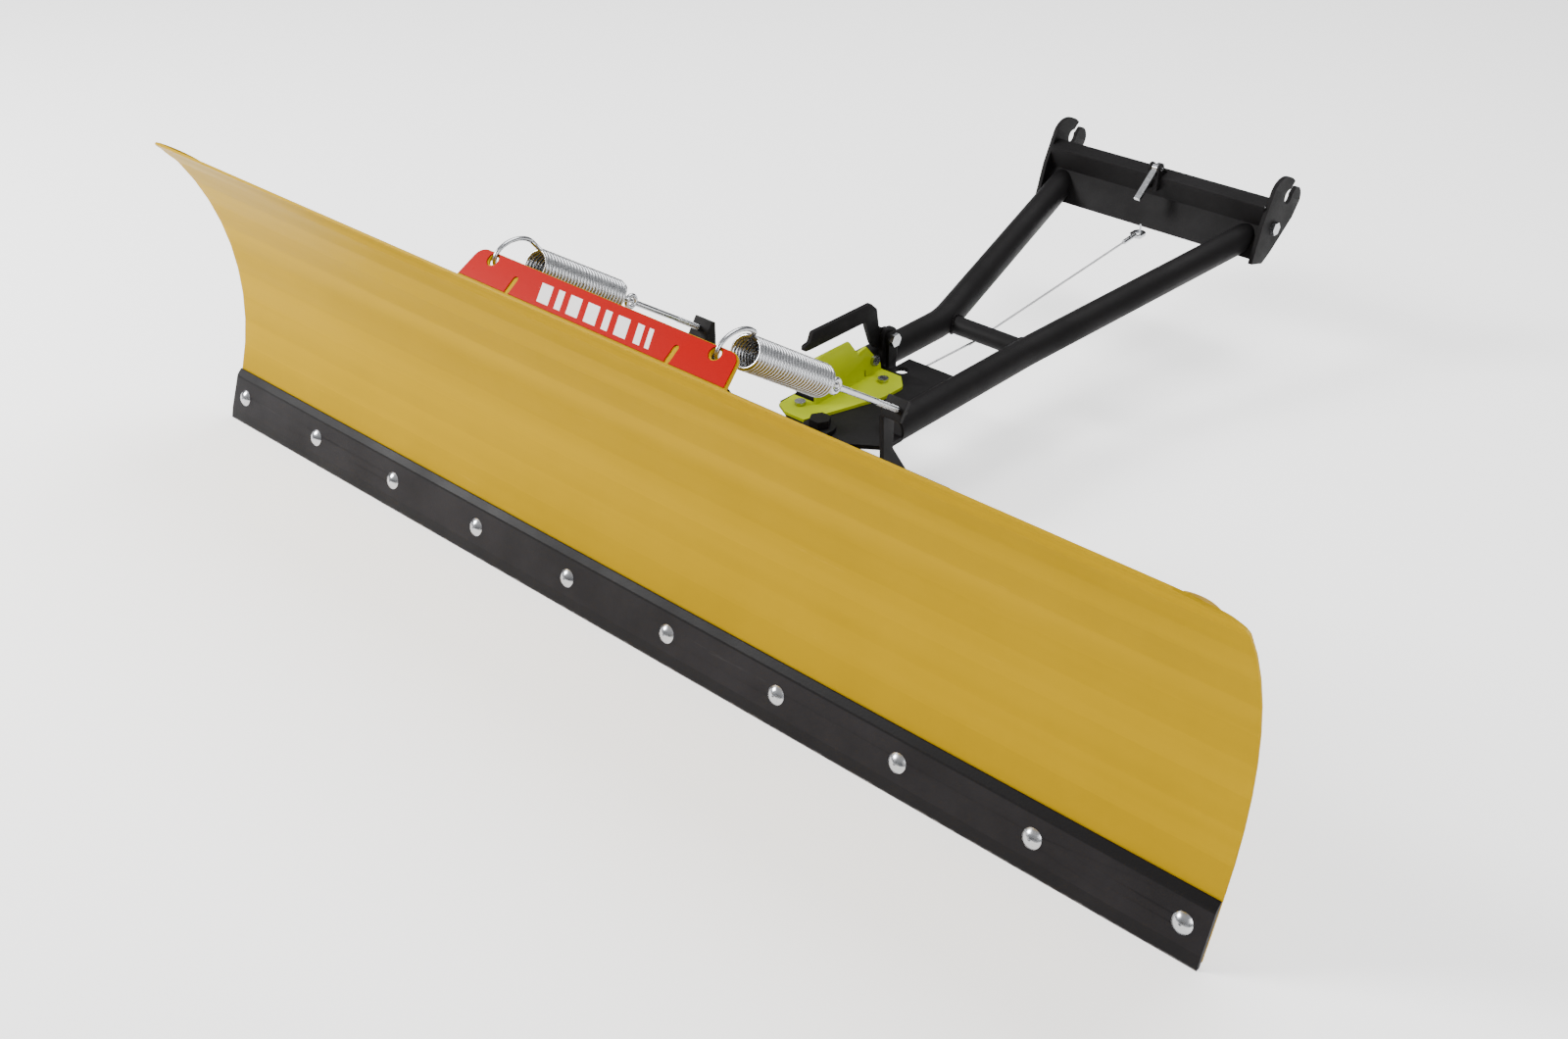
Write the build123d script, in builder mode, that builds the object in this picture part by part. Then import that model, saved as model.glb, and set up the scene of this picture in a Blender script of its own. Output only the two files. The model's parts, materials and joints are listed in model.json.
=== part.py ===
"""A 1500 mm ATV snow plow: a spring-trip moldboard on a swivelling beam, carried by a two-tube push frame.

Frame: millimetres, +Z up, +X along the cutting edge; the concave face looks along -Y and the vehicle is at +Y.
The origin is the middle of the cutting edge's flat bottom face.
"""
from build123d import *
from math import atan2, cos, degrees, pi, radians, sin, tan
import os

# ---- moldboard ----
BLADE_LENGTH = 1500
EDGE_LEAN = 20              # degrees that the wear bar leans back from vertical
SHEET_T = 3
SHEET_RADIUS = 335          # inner radius of the rolled sheet
ROLL_END = 34               # degrees above level at which the even roll ends
SHEET_START = 8             # distance up the slope at which the sheet starts
FLAT_END = 71               # distance up the slope at which the roll starts
ROLL_FLATS = 9              # press-brake flats that make up the roll
TOP_LEANS = (43, 49)        # forward lean, in degrees, of the two flats above the roll
TOP_FLAT = 33               # length of each of them
CORNER_X = 46               # top corner cut, along the length
CORNER_DROP = 53            # top corner cut, down the sheet
CORNER_BULGE = 6            # how far the corner's curve stands out beyond its chord's middle, each way

# ---- wear bar and its bolts ----
BAR_T = 6
BAR_HEIGHT = 70
BAR_TOP_BEVEL = 9
BAR_FOOT_BEVEL = 16
FOOT_BEVEL_DEPTH = 1.5
BOLT_COUNT = 10
BOLT_PITCH = 161
BOLT_UP = 36                # bolt centre, up the slope
BOLT_SHANK_R = 4.75
BOLT_HEAD_R = 10.75
BOLT_HEAD_H = 5
BOLT_HOLE_R = BOLT_SHANK_R + 0.25
BOLT_TAIL = 14              # shank behind the sheet
WASHER_R = 10.5
WASHER_T = 2
NUT_R = 8                   # half across the flats
NUT_T = 8

# ---- ribs behind the sheet ----
RIB_DEPTH = 38
STIFFENER_ANGLES = (12, 18)
STIFFENER_DEPTH = 32
STIFFENER_T = 4
END_RIB_X = 712
END_RIB_T = 5
HINGE_RIB_T = 6
HINGE_RIB_XS = (85, 119)

# ---- trip hinge ----
HINGE_Y = 57
HINGE_Z = 90
HINGE_PIN_R = 8
HINGE_EYE_R = 15
ARM_X = 102
ARM_W = 22
BUSH_WALL = 2
PIN_HEAD_R = 12
PIN_HEAD_T = 5
PIN_COLLAR_R = 11.5
PIN_COLLAR_T = 4.5
PIN_END = 9                 # how far the pin reaches past the inner rib
RUNNING = 0.05              # radial clearance of the pins that turn

# ---- swivel beam ----
KING_Y = 352
KING_R = 8
BEAM_HALF = 172
BEAM_FRONT = 322
BEAM_BACK = 384
BEAM_BOTTOM = 52
BEAM_TOP = 92
BEAM_WALL = 4
BEAM_CORNER_R = 6
CAP_T = 4
KING_BOSS_R = 13
KING_HEX_R = 12             # half across the flats
KING_HEAD_T = 10
KING_NUT_T = 11
KING_WASHER_R = 15
KING_WASHER_T = 2.5
KING_TAIL = 16              # pin below the beam
SECTOR_T = 6
SECTOR_R = 120
SECTOR_HALF_ANGLE = 33
NOTCH_ANGLES = (-25, -12.5, 0, 12.5, 25)
NOTCH_R = 6.4
NOTCH_DEPTH = 9
THRUST_R = 28
STRAP_W = 40
STRAP_FRONT = 304
STRAP_GAP = 0.5             # running gap between the strap and the pivot plate
THRUST_GAP = 0.3

# ---- trip springs ----
SPRING_X = 155
SPRING_WIRE = 5
SPRING_OD = 38
SPRING_LENGTH = 140
SPRING_TOP = (58, 382)      # centre of the coil's upper end
SPRING_SLOPE = -33.6        # degrees, rising towards the blade
SPRING_EYE_AT = 166         # eyebolt ring centre, down the axis from the coil's top
LUG_AT = 294                # front face of the lug's cross plate, down the same axis
LUG_TOP_T = 6
LUG_CHEEK_X = 15.5          # cheek's middle, inward of the spring's axis
LUG_CHEEK_T = 6
LUG_TAB_X = 10              # cross plate's reach outward of the spring's axis
EYE_RING_R = 7
EYE_WIRE_R = 2.8
EYE_ROD_R = 3.5
EYE_ROD_TAIL = 16
EYE_NUT_R = 6.5             # half across the flats
EYE_NUT_T = 6.5

# ---- spring bracket on the moldboard ----
BRACKET_ANGLE = 35.9
BRACKET_T = 4
BRACKET_HALF = 190
BRACKET_START = 2.4         # both from the roll's inner radius
BRACKET_REACH = 46
BRACKET_HOLE_X = 163
BRACKET_HOLE_R = 6
BRACKET_HOLE_IN = 9         # hole centre, in from the bracket's edge
GUSSET_X = 60
GUSSET_T = 5
SIGN_T = 1.2

# ---- push frame ----
TUBE_R = 19
TUBE_WALL = 3
TUBE_X = 68
TUBE_Z = 120
TUBE_FRONT = 405
TUBE_BEND = 681
TUBE_END = (147.4, 1050, 176.7)
TUBE_BEND_R = 160
CROSS_TUBE_R = 12.5
CROSS_TUBE_WALL = 2.5
CROSS_TUBE_Y = 688
CROSS_TUBE_Z = 118
PLATE_T = 6
PLATE_Z = 109
PLATE_BACK = 572
PLATE_HALF = 85
LOCK_BOLTS = ((-56, 379), (-19, 495))
LOCK_BOLT_R = 4
ACCESSORY_HOLE = (-25, 540)
ACCESSORY_R = 9

# ---- lock bracket ----
BASE_Z = PLATE_Z + PLATE_T
FOLD_T = 4                  # sheet that the bracket is folded from
FLANGE_X = -42
SMALL_FLANGE_X = -44.5
FLANGE_BOLT = (504, 137)
BUTTON_R = 7
BUTTON_H = 4.5
FLANGE_NUT_R = 5.5          # half across the flats

# ---- crossbar and hooks ----
HOOK_X = 180
HOOK_T = 6
SEAT_Y = 1131
SEAT_Z = 232
SEAT_R = 10.5
SLOT_W = 12
SLOT_ANGLE = 38
HOOK_BOLT = (1099, 195)
HOOK_BOLT_R = 5
HOOK_HEX_R = 8.5            # half across the flats
HOOK_HEAD_T = 5.5
HOOK_NUT_T = 7

# ---- angle lock: foot lever, toe crank, plunger and cable ----
LEVER_Y = 543
LEVER_Z = 152
LEVER_BOLT_R = 5
LEVER_HEX_R = 8             # half across the flats
LEVER_HEX_T = 6
LUG_X = -51.5
LEVER_X = -58
CRANK_X = -45.5
LEVER_T = 6
CRANK_T = 5
CRANK_W = 16
CRANK_BOTTOM = 84
PLUNGER_Z = 95
PLUNGER_R = 6
PLUNGER_END = 558
COLLAR_R = 9
COLLAR_T = 3
COLLAR_Y = 488
GUIDE_YS = (482, 528)
GUIDE_T = 8
GUIDE_W = 28
GUIDE_DROP = 10             # how far the guides reach below the plunger's axis
PLUNGER_SPRING_R = 8.6
PLUNGER_GAP = 0.5           # between the plunger's nose and the sector's rim at rest
CROSS_PIN_R = 3
CABLE_R = 1.5
CABLE_X = -34               # where the cable's front eye sits on the cross pin
CABLE_GAP = 0.7             # between the cable and the cross tube it passes under
CABLE_UNDER = (-20, 690, CROSS_TUBE_Z - CROSS_TUBE_R - CABLE_GAP - CABLE_R)
CABLE_END = (0, 1012, 149)
FERRULE_R = 3.2
FRONT_FERRULE = 28
REAR_FERRULE_R = 3.4
REAR_FERRULE = 27
EYE_Z = 150
EYE_START = 1036
EYE_LENGTH = 26
EYE_WIDTH = 19
EYE_T = 4
EYE_SLOT = 15.6
EYE_SLOT_W = 9
PEG_R = 1.7
PEG_HEAD_R = 3.2

# ---- crossbar latch ----
LATCH_X = 3
LATCH_PIVOT = (1074, 244)
LATCH_PIN_R = 3
LATCH_W = 9
LATCH_T = 5
LATCH_REACH = 56
LATCH_DROP = 39             # degrees below level that the lever hangs at
EAR_T = 4

os.makedirs("parts", exist_ok=True)
SIDES = (("left", -1), ("right", 1))

lean_sin = sin(radians(EDGE_LEAN))
lean_cos = cos(radians(EDGE_LEAN))
# the bar's foot is centred on the origin between its front bevel and its back face
foot_front_y = -(FOOT_BEVEL_DEPTH + BAR_T) / 2 / lean_cos


def save(builder, name):
    """Label a finished piece and write it to its own file."""
    builder.part.label = name
    export_step(builder.part, f"parts/{name}.step")


def on_slope(up, back):
    """(y, z) of a point up the wear bar's slope and behind its front face."""
    y = foot_front_y + up * lean_sin + back * lean_cos
    z = up * lean_cos - back * lean_sin
    return (y, z)


flat_y, flat_z = on_slope(FLAT_END, BAR_T)
ROLL_Y = flat_y - SHEET_RADIUS * lean_cos
ROLL_Z = flat_z + SHEET_RADIUS * lean_sin
BACK_R = SHEET_RADIUS + SHEET_T


def on_roll(radius, angle):
    """(y, z) of a point at a radius and angle (degrees) about the sheet's roll centre."""
    return (ROLL_Y + radius * cos(radians(angle)), ROLL_Z + radius * sin(radians(angle)))


def yz_plane(x):
    """A sketch plane across the blade: local x is Y and local y is Z."""
    return Plane.YZ.offset(x)


def roll_arc(radius, start, size):
    """An arc about the sheet's roll centre, inside a BuildLine."""
    return CenterArc((ROLL_Y, ROLL_Z), radius, start, size)


# ============================================================ moldboard

bolt_y, bolt_z = on_slope(BOLT_UP, 0)
bolt_axis = (0, -lean_cos, lean_sin)
bolt_xs = [BOLT_PITCH * (i - (BOLT_COUNT - 1) / 2) for i in range(BOLT_COUNT)]


def bolt_plane(back):
    """The plane square to the wear bar's bolts, a distance behind the bar's front face."""
    y, z = on_slope(BOLT_UP, back)
    return Plane(origin=(0, y, z), x_dir=(1, 0, 0), z_dir=bolt_axis)


bend_step = (EDGE_LEAN + ROLL_END) / ROLL_FLATS
bend_angles = [bend_step * i - EDGE_LEAN for i in range(ROLL_FLATS + 1)]
front_bends = [on_roll(SHEET_RADIUS, angle) for angle in bend_angles]
back_bends = [on_roll(BACK_R, angle) for angle in bend_angles]
for i, lean in enumerate(TOP_LEANS):
    start_y, start_z = front_bends[-1]
    bend_y = start_y - TOP_FLAT * sin(radians(lean))
    bend_z = start_z + TOP_FLAT * cos(radians(lean))
    front_bends.append((bend_y, bend_z))
    # the back of each bend is square to the mean of the two flats that meet there
    square = radians((lean + TOP_LEANS[min(i + 1, len(TOP_LEANS) - 1)]) / 2)
    back_bends.append((bend_y + SHEET_T * cos(square), bend_z + SHEET_T * sin(square)))
top_y, top_z = front_bends[-1]
top_normal = (0, cos(radians(TOP_LEANS[-1])), sin(radians(TOP_LEANS[-1])))
corner_plane = Plane(origin=(0, top_y, top_z), x_dir=(1, 0, 0), z_dir=top_normal)
# on the corner plane local +y points down the sheet or up it, whichever the cross product gives
corner_up = 1 if corner_plane.y_dir.Z > 0 else -1

with BuildPart() as moldboard:
    with BuildSketch(Plane.YZ):
        with BuildLine():
            low_front = on_slope(SHEET_START, BAR_T)
            low_back = on_slope(SHEET_START, BAR_T + SHEET_T)
            Polyline(low_front, *front_bends, *reversed(back_bends), low_back, close=True)
        make_face()
    extrude(amount=BLADE_LENGTH / 2, both=True)
    for side in (-1, 1):
        end_x = side * BLADE_LENGTH / 2
        cut_x = side * (BLADE_LENGTH / 2 - CORNER_X)
        low = corner_up * -CORNER_DROP
        with BuildSketch(corner_plane):
            with BuildLine():
                Polyline(
                    (cut_x, 0),
                    (cut_x, corner_up * CORNER_BULGE),
                    (end_x + side * CORNER_BULGE, corner_up * CORNER_BULGE),
                    (end_x + side * CORNER_BULGE, low),
                    (end_x, low),
                )
                ThreePointArc(
                    (end_x, low),
                    ((end_x + cut_x) / 2 + side * CORNER_BULGE, low / 2 + corner_up * CORNER_BULGE),
                    (cut_x, 0),
                )
            make_face()
        extrude(amount=60, both=True, mode=Mode.SUBTRACT)
    with BuildSketch(bolt_plane(BAR_T)):
        with Locations(*[(x, 0) for x in bolt_xs]):
            Circle(BOLT_HOLE_R)
    extrude(amount=20, both=True, mode=Mode.SUBTRACT)
save(moldboard, "moldboard")

with BuildPart() as wear_bar:
    with BuildSketch(Plane.YZ):
        with BuildLine():
            foot_rise = FOOT_BEVEL_DEPTH * tan(radians(EDGE_LEAN))
            back_rise = BAR_T * tan(radians(EDGE_LEAN))
            Polyline(
                on_slope(foot_rise, FOOT_BEVEL_DEPTH),
                on_slope(BAR_FOOT_BEVEL, 0),
                on_slope(BAR_HEIGHT - BAR_TOP_BEVEL, 0),
                on_slope(BAR_HEIGHT, BAR_T * 0.65),
                on_slope(BAR_HEIGHT, BAR_T),
                on_slope(back_rise, BAR_T),
                close=True,
            )
        make_face()
    extrude(amount=BLADE_LENGTH / 2, both=True)
    with BuildSketch(bolt_plane(BAR_T)):
        with Locations(*[(x, 0) for x in bolt_xs]):
            Circle(BOLT_HOLE_R)
    extrude(amount=20, both=True, mode=Mode.SUBTRACT)
save(wear_bar, "wear_bar")

stack = BAR_T + SHEET_T
with BuildPart() as carriage_bolts:
    with BuildSketch(bolt_plane(0)):
        with Locations(*[(x, 0) for x in bolt_xs]):
            Circle(BOLT_SHANK_R)
    extrude(amount=-(stack + BOLT_TAIL))
    cap_r = (BOLT_HEAD_R ** 2 + BOLT_HEAD_H ** 2) / (2 * BOLT_HEAD_H)
    for x in bolt_xs:
        with BuildSketch(Plane(origin=(x, bolt_y, bolt_z), x_dir=(1, 0, 0), z_dir=(0, lean_sin, lean_cos))):
            with BuildLine():
                Line((0, 0), (BOLT_HEAD_R, 0))
                ThreePointArc(
                    (BOLT_HEAD_R, 0),
                    (cap_r * sin(radians(20)), -(BOLT_HEAD_H - cap_r * (1 - cos(radians(20))))),
                    (0, -BOLT_HEAD_H),
                )
                Line((0, -BOLT_HEAD_H), (0, 0))
            make_face()
        revolve(axis=Axis((x, bolt_y, bolt_z), bolt_axis))
save(carriage_bolts, "carriage_bolts")

with BuildPart() as blade_nuts:
    with BuildSketch(bolt_plane(stack)):
        with Locations(*[(x, 0) for x in bolt_xs]):
            Circle(WASHER_R)
            Circle(BOLT_SHANK_R, mode=Mode.SUBTRACT)
    extrude(amount=-WASHER_T)
    with BuildSketch(bolt_plane(stack + WASHER_T)):
        with Locations(*[(x, 0) for x in bolt_xs]):
            RegularPolygon(NUT_R, 6, major_radius=False)
            Circle(BOLT_SHANK_R, mode=Mode.SUBTRACT)
    extrude(amount=-NUT_T)
save(blade_nuts, "blade_nuts")


# the end ribs stop four fifths of the way up the sheet's top flat
rib_top_y = back_bends[-2][0] + 0.8 * (back_bends[-1][0] - back_bends[-2][0])
rib_top_z = back_bends[-2][1] + 0.8 * (back_bends[-1][1] - back_bends[-2][1])


def end_rib(side):
    """A tapering rib behind each end of the sheet, slim at the top edge and full depth at the middle."""
    with BuildPart() as rib:
        with BuildSketch(yz_plane(side * END_RIB_X)):
            with BuildLine():
                inner = roll_arc(BACK_R, -12, 12 + ROLL_END)
                edge = Polyline(inner @ 1, back_bends[-2], (rib_top_y, rib_top_z))
                tip = Line(edge @ 1, (rib_top_y + 3, rib_top_z - 1))
                crown = ThreePointArc(
                    tip @ 1,
                    on_roll(BACK_R + 23, 23),
                    on_roll(BACK_R + RIB_DEPTH, 5),
                )
                heel = ThreePointArc(
                    crown @ 1,
                    on_roll(BACK_R + RIB_DEPTH * 0.75, -6),
                    on_roll(BACK_R + 8, -12),
                )
                Line(heel @ 1, inner @ 0)
            make_face()
        extrude(amount=END_RIB_T / 2, both=True)
    return rib


def hinge_rib(x):
    """A rib that backs the sheet and carries the trip pin in a round ear."""
    with BuildPart() as rib:
        with BuildSketch(yz_plane(x)):
            with BuildLine():
                inner = roll_arc(BACK_R, -17, 25)
                top = Line(inner @ 1, on_roll(BACK_R + 12, 8))
                brow = Line(top @ 1, on_roll(BACK_R + RIB_DEPTH, -2))
                spine = roll_arc(BACK_R + RIB_DEPTH, -2, -13)
                Line(spine @ 1, inner @ 0)
            make_face()
            with Locations((HINGE_Y, HINGE_Z)):
                Circle(HINGE_EYE_R + 1)
            with BuildLine():
                Polyline(
                    on_roll(BACK_R + 1.2, -17),
                    on_roll(BACK_R + 1.2, -8),
                    (HINGE_Y + HINGE_EYE_R, HINGE_Z + 10),
                    (HINGE_Y + HINGE_EYE_R - 4, HINGE_Z - 10),
                    close=True,
                )
            make_face()
            with Locations((HINGE_Y, HINGE_Z)):
                Circle(HINGE_PIN_R, mode=Mode.SUBTRACT)
        extrude(amount=HINGE_RIB_T / 2, both=True)
    return rib


for side_name, side in SIDES:
    save(end_rib(side), f"end_rib_{side_name}")
    for place, rib_x in zip(("inner", "outer"), HINGE_RIB_XS):
        save(hinge_rib(side * rib_x), f"hinge_rib_{side_name}_{place}")

with BuildPart() as upper_stiffener:
    stiff_low, stiff_high = STIFFENER_ANGLES
    lip_r = BACK_R + STIFFENER_DEPTH
    with BuildSketch(Plane.YZ):
        with BuildLine():
            foot = roll_arc(BACK_R, stiff_low, stiff_high - stiff_low)
            Polyline(
                foot @ 1,
                on_roll(lip_r, stiff_high - 0.7),
                on_roll(lip_r, stiff_low + 1.2),
                on_roll(lip_r - STIFFENER_T, stiff_low + 1.2),
                on_roll(lip_r - STIFFENER_T, stiff_high - 1.5),
                on_roll(BACK_R + STIFFENER_T, stiff_high - 0.8),
                on_roll(BACK_R + STIFFENER_T, stiff_low),
                foot @ 0,
            )
        make_face()
    extrude(amount=END_RIB_X - END_RIB_T / 2, both=True)
save(upper_stiffener, "upper_stiffener")

bracket_out = Vector(0, cos(radians(BRACKET_ANGLE)), sin(radians(BRACKET_ANGLE)))
bracket_up = Vector(0, -sin(radians(BRACKET_ANGLE)), cos(radians(BRACKET_ANGLE)))
bracket_base_y, bracket_base_z = on_roll(SHEET_RADIUS, BRACKET_ANGLE)
# local x is X and local y points out from the sheet along the bracket
bracket_plane = Plane(
    origin=(0, bracket_base_y, bracket_base_z),
    x_dir=(1, 0, 0),
    z_dir=Vector(1, 0, 0).cross(bracket_out),
)
bracket_holes = [(side * BRACKET_HOLE_X, BRACKET_REACH - BRACKET_HOLE_IN) for side in (-1, 1)]
bracket_face = 1 if bracket_plane.z_dir.dot(bracket_up) > 0 else -1

with BuildPart() as spring_bracket:
    with BuildSketch(bracket_plane) as bracket_outline:
        with BuildLine():
            Polyline(
                (-BRACKET_HALF - 8, BRACKET_START),
                (-BRACKET_HALF, BRACKET_REACH),
                (BRACKET_HALF, BRACKET_REACH),
                (BRACKET_HALF + 8, BRACKET_START),
                close=True,
            )
        make_face()
        fillet(bracket_outline.vertices().group_by(Axis.Y)[-1], 14)
        with Locations(*bracket_holes):
            Circle(BRACKET_HOLE_R, mode=Mode.SUBTRACT)
    extrude(amount=BRACKET_T / 2, both=True)
save(spring_bracket, "spring_bracket")

with BuildPart() as sign_plate:
    with BuildSketch(bracket_plane.offset(bracket_face * BRACKET_T / 2)) as sign_outline:
        with BuildLine():
            Polyline(
                (-BRACKET_HALF - 5, SHEET_T + 6),
                (-BRACKET_HALF + 1, BRACKET_REACH - 1),
                (BRACKET_HALF - 1, BRACKET_REACH - 1),
                (BRACKET_HALF + 5, SHEET_T + 6),
                close=True,
            )
        make_face()
        fillet(sign_outline.vertices().group_by(Axis.Y)[-1], 13)
        with Locations(*bracket_holes):
            Circle(BRACKET_HOLE_R + 1.8, mode=Mode.SUBTRACT)
        for side in (-1, 1):
            with Locations((side * 118, SHEET_T + 16)):
                SlotOverall(22, 7, rotation=90, mode=Mode.SUBTRACT)
    extrude(amount=bracket_face * SIGN_T)
save(sign_plate, "sign_plate")

with BuildPart() as bracket_gussets:
    for x in (-GUSSET_X, GUSSET_X):
        with BuildSketch(yz_plane(x)):
            with BuildLine():
                gusset_top = bracket_plane.origin + bracket_out * SHEET_T - bracket_up * (BRACKET_T / 2)
                gusset_out = bracket_plane.origin + bracket_out * 36 - bracket_up * (BRACKET_T / 2)
                seat = roll_arc(BACK_R, BRACKET_ANGLE - 5, 4.6)
                Polyline(
                    seat @ 1,
                    (gusset_top.Y + 1, gusset_top.Z + 0.7),
                    (gusset_out.Y, gusset_out.Z),
                    seat @ 0,
                )
            make_face()
        extrude(amount=GUSSET_T / 2, both=True)
    with BuildSketch(bracket_plane):
        Rectangle(2 * BRACKET_HALF, 4 * BRACKET_REACH)
    extrude(amount=BRACKET_T / 2, both=True, mode=Mode.SUBTRACT)
save(bracket_gussets, "bracket_gussets")

# ============================================================ trip hinge and swivel beam


# a headed pin through both ribs' ears on each side, with a collar at its inner end
pin_inner = HINGE_RIB_XS[0] - HINGE_RIB_T / 2
pin_outer = HINGE_RIB_XS[1] + HINGE_RIB_T / 2
with BuildPart() as trip_pins:
    for side in (-1, 1):
        with BuildSketch(Plane.YZ.offset(side * (pin_inner - PIN_END))):
            with Locations((HINGE_Y, HINGE_Z)):
                Circle(HINGE_PIN_R)
        extrude(amount=side * (pin_outer - pin_inner + PIN_END))
        with BuildSketch(Plane.YZ.offset(side * pin_outer)):
            with Locations((HINGE_Y, HINGE_Z)):
                Circle(PIN_HEAD_R)
        extrude(amount=side * PIN_HEAD_T)
        with BuildSketch(Plane.YZ.offset(side * (pin_inner - 0.5 - PIN_COLLAR_T))):
            with Locations((HINGE_Y, HINGE_Z)):
                Circle(PIN_COLLAR_R)
        extrude(amount=side * PIN_COLLAR_T)
save(trip_pins, "trip_pins")

# the plain bushes pressed into the arms' eyes
with BuildPart() as trip_bushes:
    for side in (-1, 1):
        with BuildSketch(yz_plane(side * ARM_X)):
            with Locations((HINGE_Y, HINGE_Z)):
                Circle(HINGE_PIN_R + BUSH_WALL)
                Circle(HINGE_PIN_R + RUNNING, mode=Mode.SUBTRACT)
        extrude(amount=ARM_W / 2 + 1, both=True)
save(trip_bushes, "trip_bushes")


def trip_arm(side):
    """A flat-sided arm from the swivel beam to the trip hinge, with a round eye at its front."""
    with BuildPart() as arm:
        with BuildSketch(yz_plane(side * ARM_X)):
            with BuildLine():
                Polyline(
                    (BEAM_FRONT, BEAM_BOTTOM + 4),
                    (BEAM_FRONT, BEAM_TOP),
                    (HINGE_Y + 4, HINGE_Z + HINGE_EYE_R - 0.5),
                    (HINGE_Y + 4, HINGE_Z - HINGE_EYE_R + 0.5),
                    close=True,
                )
            make_face()
            with Locations((HINGE_Y, HINGE_Z)):
                Circle(HINGE_EYE_R)
                Circle(HINGE_PIN_R + BUSH_WALL, mode=Mode.SUBTRACT)
        extrude(amount=ARM_W / 2, both=True)
    return arm


for side_name, side in SIDES:
    save(trip_arm(side), f"trip_arm_{side_name}")

beam_depth = BEAM_BACK - BEAM_FRONT
beam_height = BEAM_TOP - BEAM_BOTTOM
beam_middle = ((BEAM_FRONT + BEAM_BACK) / 2, (BEAM_BOTTOM + BEAM_TOP) / 2)

with BuildPart() as swivel_beam:
    with BuildSketch(Plane.YZ):
        with Locations(beam_middle):
            RectangleRounded(beam_depth, beam_height, BEAM_CORNER_R)
            RectangleRounded(
                beam_depth - 2 * BEAM_WALL,
                beam_height - 2 * BEAM_WALL,
                BEAM_CORNER_R - 3,
                mode=Mode.SUBTRACT,
            )
    extrude(amount=BEAM_HALF, both=True)
    with BuildSketch(Plane.XY.offset(BEAM_BOTTOM)):
        with Locations((0, KING_Y)):
            Circle(KING_BOSS_R)
    extrude(amount=beam_height)
    with BuildSketch(Plane.XY.offset(BEAM_BOTTOM)):
        with Locations((0, KING_Y)):
            Circle(KING_R)
    extrude(amount=beam_height, mode=Mode.SUBTRACT)
save(swivel_beam, "swivel_beam")

with BuildPart() as beam_caps:
    for side in (-1, 1):
        with BuildSketch(Plane.YZ.offset(side * BEAM_HALF)):
            with Locations(beam_middle):
                RectangleRounded(beam_depth, beam_height, BEAM_CORNER_R)
        extrude(amount=side * CAP_T)
save(beam_caps, "beam_caps")

with BuildPart() as lock_sector:
    with BuildSketch(Plane.XY.offset(BEAM_TOP)):
        with BuildLine():
            start_angle = 90 - SECTOR_HALF_ANGLE
            rim = CenterArc((0, KING_Y), SECTOR_R, start_angle, 2 * SECTOR_HALF_ANGLE)
            Polyline(
                rim @ 1,
                (-38, KING_Y + 26),
                (-38, BEAM_FRONT + 6),
                (38, BEAM_FRONT + 6),
                (38, KING_Y + 26),
                rim @ 0,
            )
        make_face()
        with Locations((0, KING_Y)):
            Circle(KING_R, mode=Mode.SUBTRACT)
        for angle in NOTCH_ANGLES:
            with Locations(Location((0, KING_Y), angle + 90)):
                with Locations((SECTOR_R, 0)):
                    Rectangle(2 * NOTCH_DEPTH, 2 * NOTCH_R, mode=Mode.SUBTRACT)
    extrude(amount=SECTOR_T)
save(lock_sector, "lock_sector")

thrust_bottom = BEAM_TOP + SECTOR_T
with BuildPart() as thrust_ring:
    with BuildSketch(Plane.XY.offset(thrust_bottom)):
        with Locations((0, KING_Y)):
            Circle(THRUST_R)
            Circle(KING_R, mode=Mode.SUBTRACT)
    extrude(amount=PLATE_Z - thrust_bottom - THRUST_GAP)
save(thrust_ring, "thrust_ring")

strap_z = PLATE_Z + PLATE_T + STRAP_GAP
strap_foot_z = BEAM_BOTTOM + BEAM_CORNER_R
strap_back = STRAP_FRONT + PLATE_T
with BuildPart() as swivel_strap:
    with BuildSketch(Plane.XY.offset(strap_z)):
        with Locations((0, KING_Y)):
            Circle(STRAP_W / 2)
        with Locations((0, (KING_Y + STRAP_FRONT) / 2)):
            Rectangle(STRAP_W, KING_Y - STRAP_FRONT)
        with Locations((0, KING_Y)):
            Circle(KING_R, mode=Mode.SUBTRACT)
    extrude(amount=PLATE_T)
    with BuildSketch(Plane.XY.offset(strap_foot_z)):
        with Locations((0, (STRAP_FRONT + strap_back) / 2)):
            Rectangle(STRAP_W, PLATE_T)
    extrude(amount=strap_z - strap_foot_z)
    with BuildSketch(Plane.XY.offset(strap_foot_z)):
        with Locations((0, (strap_back + BEAM_FRONT) / 2)):
            Rectangle(STRAP_W, BEAM_FRONT - strap_back)
    extrude(amount=BEAM_TOP - BEAM_BOTTOM - 2 * BEAM_CORNER_R)
save(swivel_strap, "swivel_strap")

with BuildPart() as king_pin:
    with BuildSketch(Plane.XY.offset(BEAM_BOTTOM - KING_TAIL)):
        with Locations((0, KING_Y)):
            Circle(KING_R)
    extrude(amount=strap_z + PLATE_T - BEAM_BOTTOM + KING_TAIL)
    with BuildSketch(Plane.XY.offset(strap_z + PLATE_T)):
        with Locations((0, KING_Y)):
            RegularPolygon(KING_HEX_R, 6, major_radius=False)
    extrude(amount=KING_HEAD_T)
save(king_pin, "king_pin")

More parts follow.
